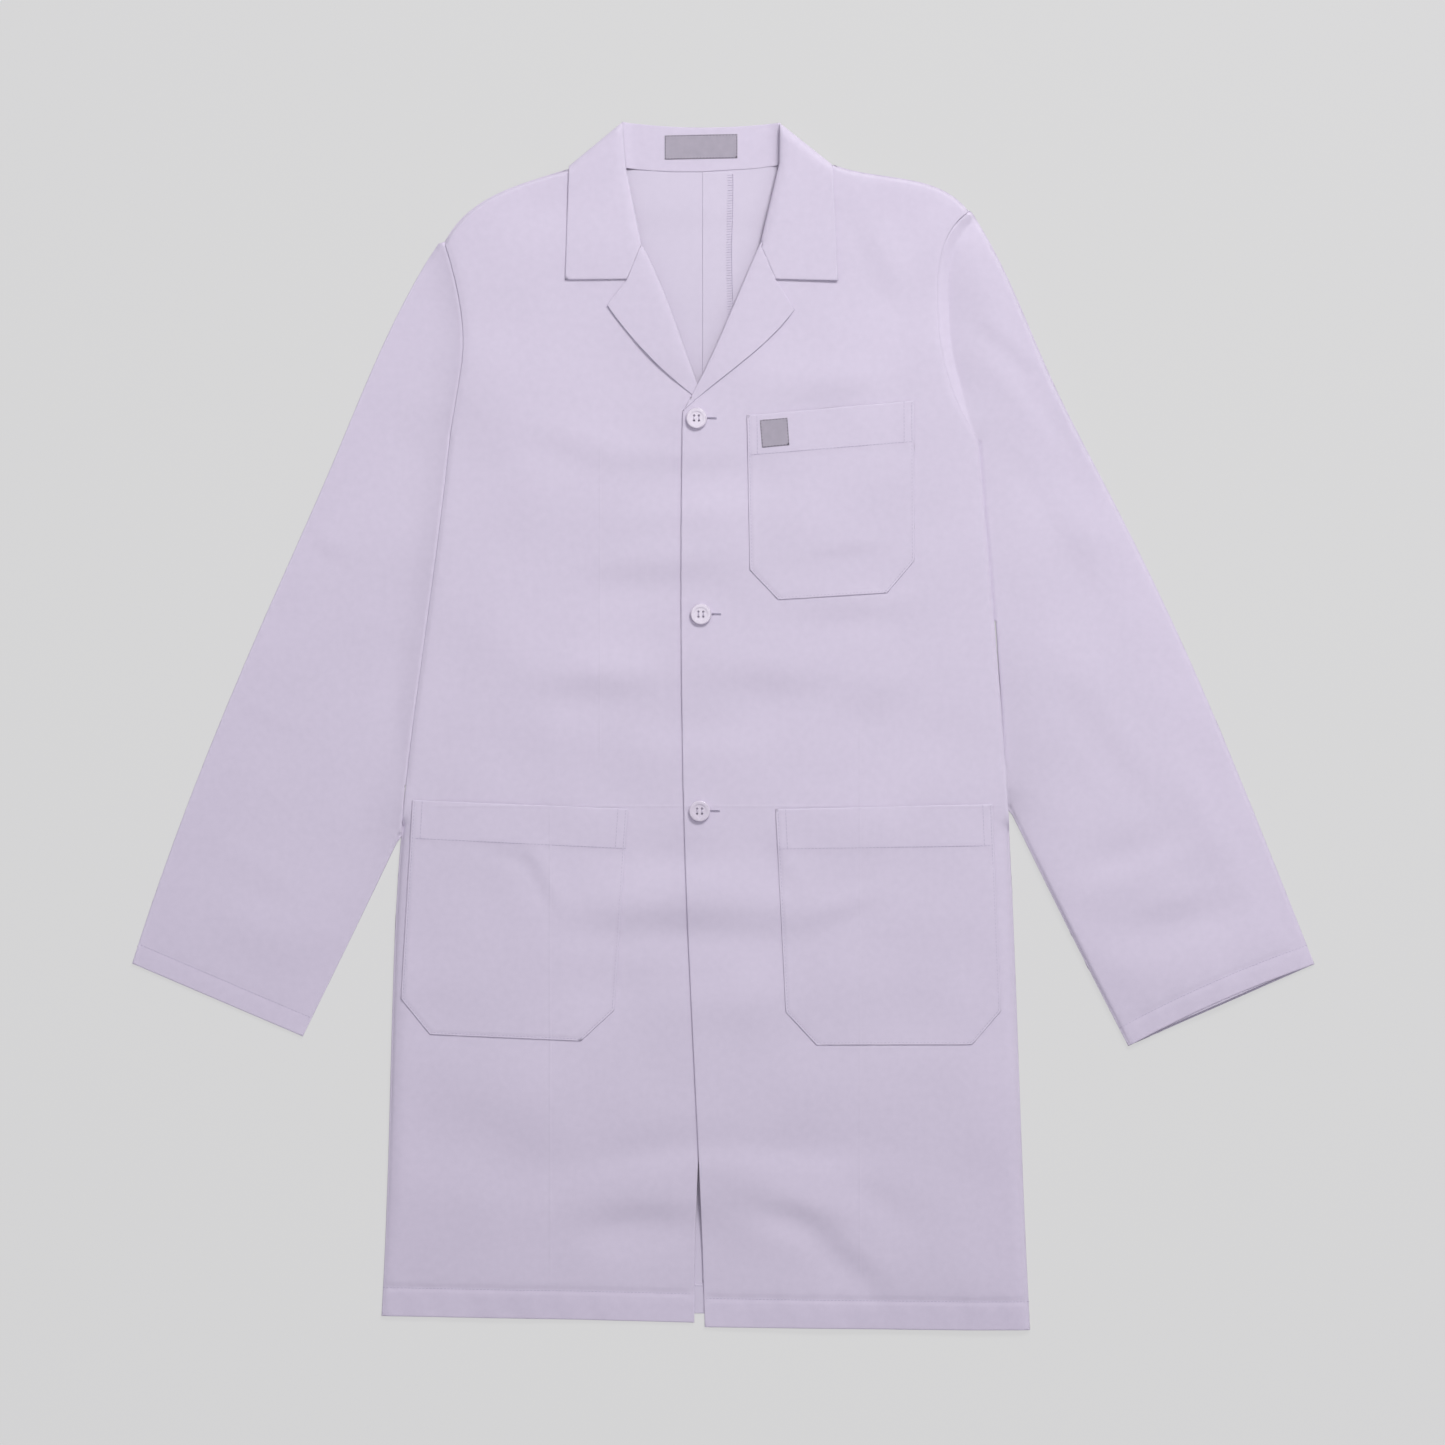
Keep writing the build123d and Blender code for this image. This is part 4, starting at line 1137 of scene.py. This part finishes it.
# --- Pockets ---
class Pocket:
    """A patch pocket on a front: its outline, its hemmed band and the rows of stitches that hold them."""

    ROW = 1.9 * MM  # from the sewn edge to the first row of stitches
    SECOND_ROW = 8.5 * MM
    BAND_ROW = 1.2 * MM  # above the band's lower edge

    def __init__(self, name, side):
        self.name, self.side = name, side
        loop = joined(outline(name), outline(f"{name}_side"), side.front_joint)
        points = corners(loop)
        by_height = points[np.argsort(-points[:, 1])][:2]
        top_left, top_right = by_height[np.argsort(by_height[:, 0])]
        self.sewn = between(loop, top_left, top_right)
        band = corners(outline(f"{name}_band"))
        lower = band[np.argsort(band[:, 1])][:2]
        a, b = lower[np.argsort(lower[:, 0])]
        along = (b - a) / np.linalg.norm(b - a)
        width = top_right[0] - top_left[0]
        self.band_left = a - along * (a[0] - top_left[0] - 2.5 * MM) / along[0]
        self.band_right = self.band_left + along * (width - 4 * MM) / along[0]
        self.band_normal = np.array([-along[1], along[0]])
        groove = ([inset(self.sewn, self.ROW)], 1.1 * MM, 0.35 * MM)
        self.cloth = Cloth(loop, self.lie, edge=0.45 * MM, dips=[groove])

    def lie(self, points):
        """The pocket lies on the front, a little slack in its middle, thicker along its band."""
        slack = 1.3 * MM * smooth(distance(points, [self.sewn]) / (55 * MM))
        above = (points - self.band_left) @ self.band_normal
        band = 0.4 * MM * smooth(above / (0.9 * MM) + 0.5)
        return self.side.front.surface(points) + 1.1 * MM + slack + band

    def make(self):
        nodes = [self.name, f"{self.name}_side", f"{self.name}_band"]
        made = sheet(
            f"{self.name}_cloth", self.cloth, COAT, nodes, spacing=4.5 * MM, thickness=0.6 * MM,
            rests_on=[f"{self.side.name}_front_cloth"],
        )
        bend(made, self.side.front_joint)
        rows = Thread()
        rows.row(inset(self.sewn, self.ROW), self.cloth, radius=0.17 * MM)
        band_path = np.array([self.band_left, self.band_right]) + self.band_normal * self.BAND_ROW
        rows.row(band_path, self.cloth, radius=0.15 * MM)
        second = inset(self.sewn, self.SECOND_ROW)
        for top, low in ((second[0], second[1]), (second[-1], second[-2])):
            above, below = ((point - band_path[0]) @ self.band_normal for point in (top, low))
            end = top + (low - top) * above / (above - below)
            rows.row(np.array([top, end]), self.cloth, radius=0.17 * MM)
        bend(rows.show(f"{self.name}_stitching", THREAD), self.side.front_joint)


# --- Buttons and buttonholes ---
def make_buttonholes():
    """Close stitches along both lips of each slit, with a bar across its end."""
    thread = Thread()
    pitch, lip, near = 0.45 * MM, 1.1 * MM, 0.12 * MM
    start, end = 2.8 * MM, 16.2 * MM  # clear of the button's own threads
    bars, bar_pitch = 3, 0.4 * MM
    for centre_x, y in BUTTON_CENTRES:
        xs = np.arange(centre_x + start, centre_x + end, pitch)
        for x in xs:
            z = float(LEFT.front.surface(np.array([[x, y + 3 * MM]]))[0]) + 0.05 * MM
            for way in (-1, 1):
                thread.add((x, y + way * near, z), (x, y + way * lip, z), 0.2 * MM)
        for k in range(bars):
            x = xs[-1] + (k + 1) * bar_pitch
            thread.add((x, y - lip, z), (x, y + lip, z), 0.22 * MM, lift=0.1 * MM)
    made = thread.show("buttonhole_threads", THREAD)
    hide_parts("buttonhole_stitching")
    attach(made, "left_front")


def make_button_threads():
    """Two bars of thread across each button, that turn down into its four holes."""
    reach, strand, radius = HOLE_SPACING / 2, 0.2 * MM, 0.22 * MM
    for number, name in enumerate(BUTTON_NODES, start=1):
        low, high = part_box(f"button_thread_{number}")
        x_middle, y_middle = (low.x + high.x) / 2, (low.y + high.y) / 2
        z = high.z - 0.3 * MM
        thread = Thread()
        for x in (x_middle - reach, x_middle + reach):
            for strand_x in (x - strand, x + strand):
                thread.add((strand_x, y_middle - reach, z), (strand_x, y_middle + reach, z), radius)
                for way in (-1, 1):
                    y = y_middle + way * reach
                    thread.add((strand_x, y, z), (strand_x, y + way * 0.3 * MM, low.z), radius)
        made = thread.show(f"{name}_sewing", BUTTON_THREAD)
        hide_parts(f"button_thread_{number}")
        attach(made, name)


def paint_nodes():
    """The buttons and their shanks keep their CAD shape and get their materials."""
    for name, material in [*((name, BUTTON) for name in BUTTON_NODES), ("button_shanks", THREAD)]:
        mesh = frame["nodes"][name].data
        mesh.materials.clear()
        mesh.materials.append(material)


# --- Floor, light and camera ---
FLOOR_HALF, FLOOR_DROP = 6.0, 0.2 * MM
WHITE, WARM = (1, 1, 1), (1.0, 0.99, 0.98)
# Soft lamps: name, place, point they face, diameter, power and colour.
LAMPS = [
    ("key", (1.0, 2.45, 2.55), (0, 0.1, 0), 1.1, 80, WARM),
    ("overhead", (-0.05, 0.3, 1.9), (-0.05, 0.2, 0), 0.7, 4, WARM),
    ("fill", (1.8, -1.0, 2.6), (0, 0, 0), 2.2, 5, WHITE),
]
VIEW_MARGIN = 1.1937  # height of the view in coat lengths
VIEW_SHIFT = (-0.7 * MM, 2.8 * MM)  # from the middle of the coat to the middle of the photo


def make_stage():
    mesh = bpy.data.meshes.new("floor")
    ring = [(-1, -1), (1, -1), (1, 1), (-1, 1)]
    mesh.from_pydata([(x * FLOOR_HALF, y * FLOOR_HALF, 0) for x, y in ring], [], [(0, 1, 2, 3)])
    floor = bpy.data.objects.new("floor", mesh)
    bpy.context.scene.collection.objects.link(floor)
    floor.location.z = -FLOOR_DROP
    mesh.materials.append(Look("studio_floor").finish({
        "Base Color": (0.12, 0.12, 0.12, 1), "Emission Color": (*WHITE, 1), "Emission Strength": 0.57,
        "Roughness": 0.9, "Specular IOR Level": 0.1,
    }))


def make_light():
    world = bpy.data.worlds.new("studio")
    bpy.context.scene.world = world
    world.use_nodes = True
    background = world.node_tree.nodes["Background"]
    background.inputs["Color"].default_value = (0.94, 0.915, 1.04, 1)
    background.inputs["Strength"].default_value = 0.36
    for name, place, aim, size, power, colour in LAMPS:
        data = bpy.data.lights.new(name, "AREA")
        data.shape, data.size, data.energy, data.color = "DISK", size, power, colour
        lamp = bpy.data.objects.new(name, data)
        bpy.context.scene.collection.objects.link(lamp)
        lamp.location = place
        lamp.visible_camera = False
        lamp.rotation_euler = (Vector(aim) - Vector(place)).to_track_quat("-Z", "Y").to_euler()


def make_camera():
    data = bpy.data.cameras.new("camera")
    data.lens, data.sensor_width = 100, 36
    camera = bpy.data.objects.new("camera", data)
    bpy.context.scene.collection.objects.link(camera)
    middle = (cad_low + cad_high) / 2
    view_width = (cad_high.y - cad_low.y) * VIEW_MARGIN
    height = cad_high.z / 2 + view_width * data.lens / data.sensor_width
    camera.location = (middle.x + VIEW_SHIFT[0], middle.y + VIEW_SHIFT[1], height)
    camera.rotation_euler = (0, 0, 0)
    bpy.context.scene.camera = camera
    bpy.context.scene.view_settings.view_transform = "Standard"


def build():
    for side in SIDES:
        make_body(side)
        make_sleeves(side)
        make_collar(side)
        make_lapel(side)
    make_stand()
    make_back_seam()
    make_back_hem()
    pockets = [Pocket("chest_pocket", LEFT), Pocket("left_pocket", LEFT), Pocket("right_pocket", RIGHT)]
    for pocket in pockets:
        pocket.make()
    make_label("chest_pocket_label", pockets[0].cloth, "chest_pocket_cloth", "left_front", 0.6 * MM)
    make_buttonholes()
    make_button_threads()
    paint_nodes()
    declare_sheets()
    make_stage()
    make_light()
    make_camera()


build()
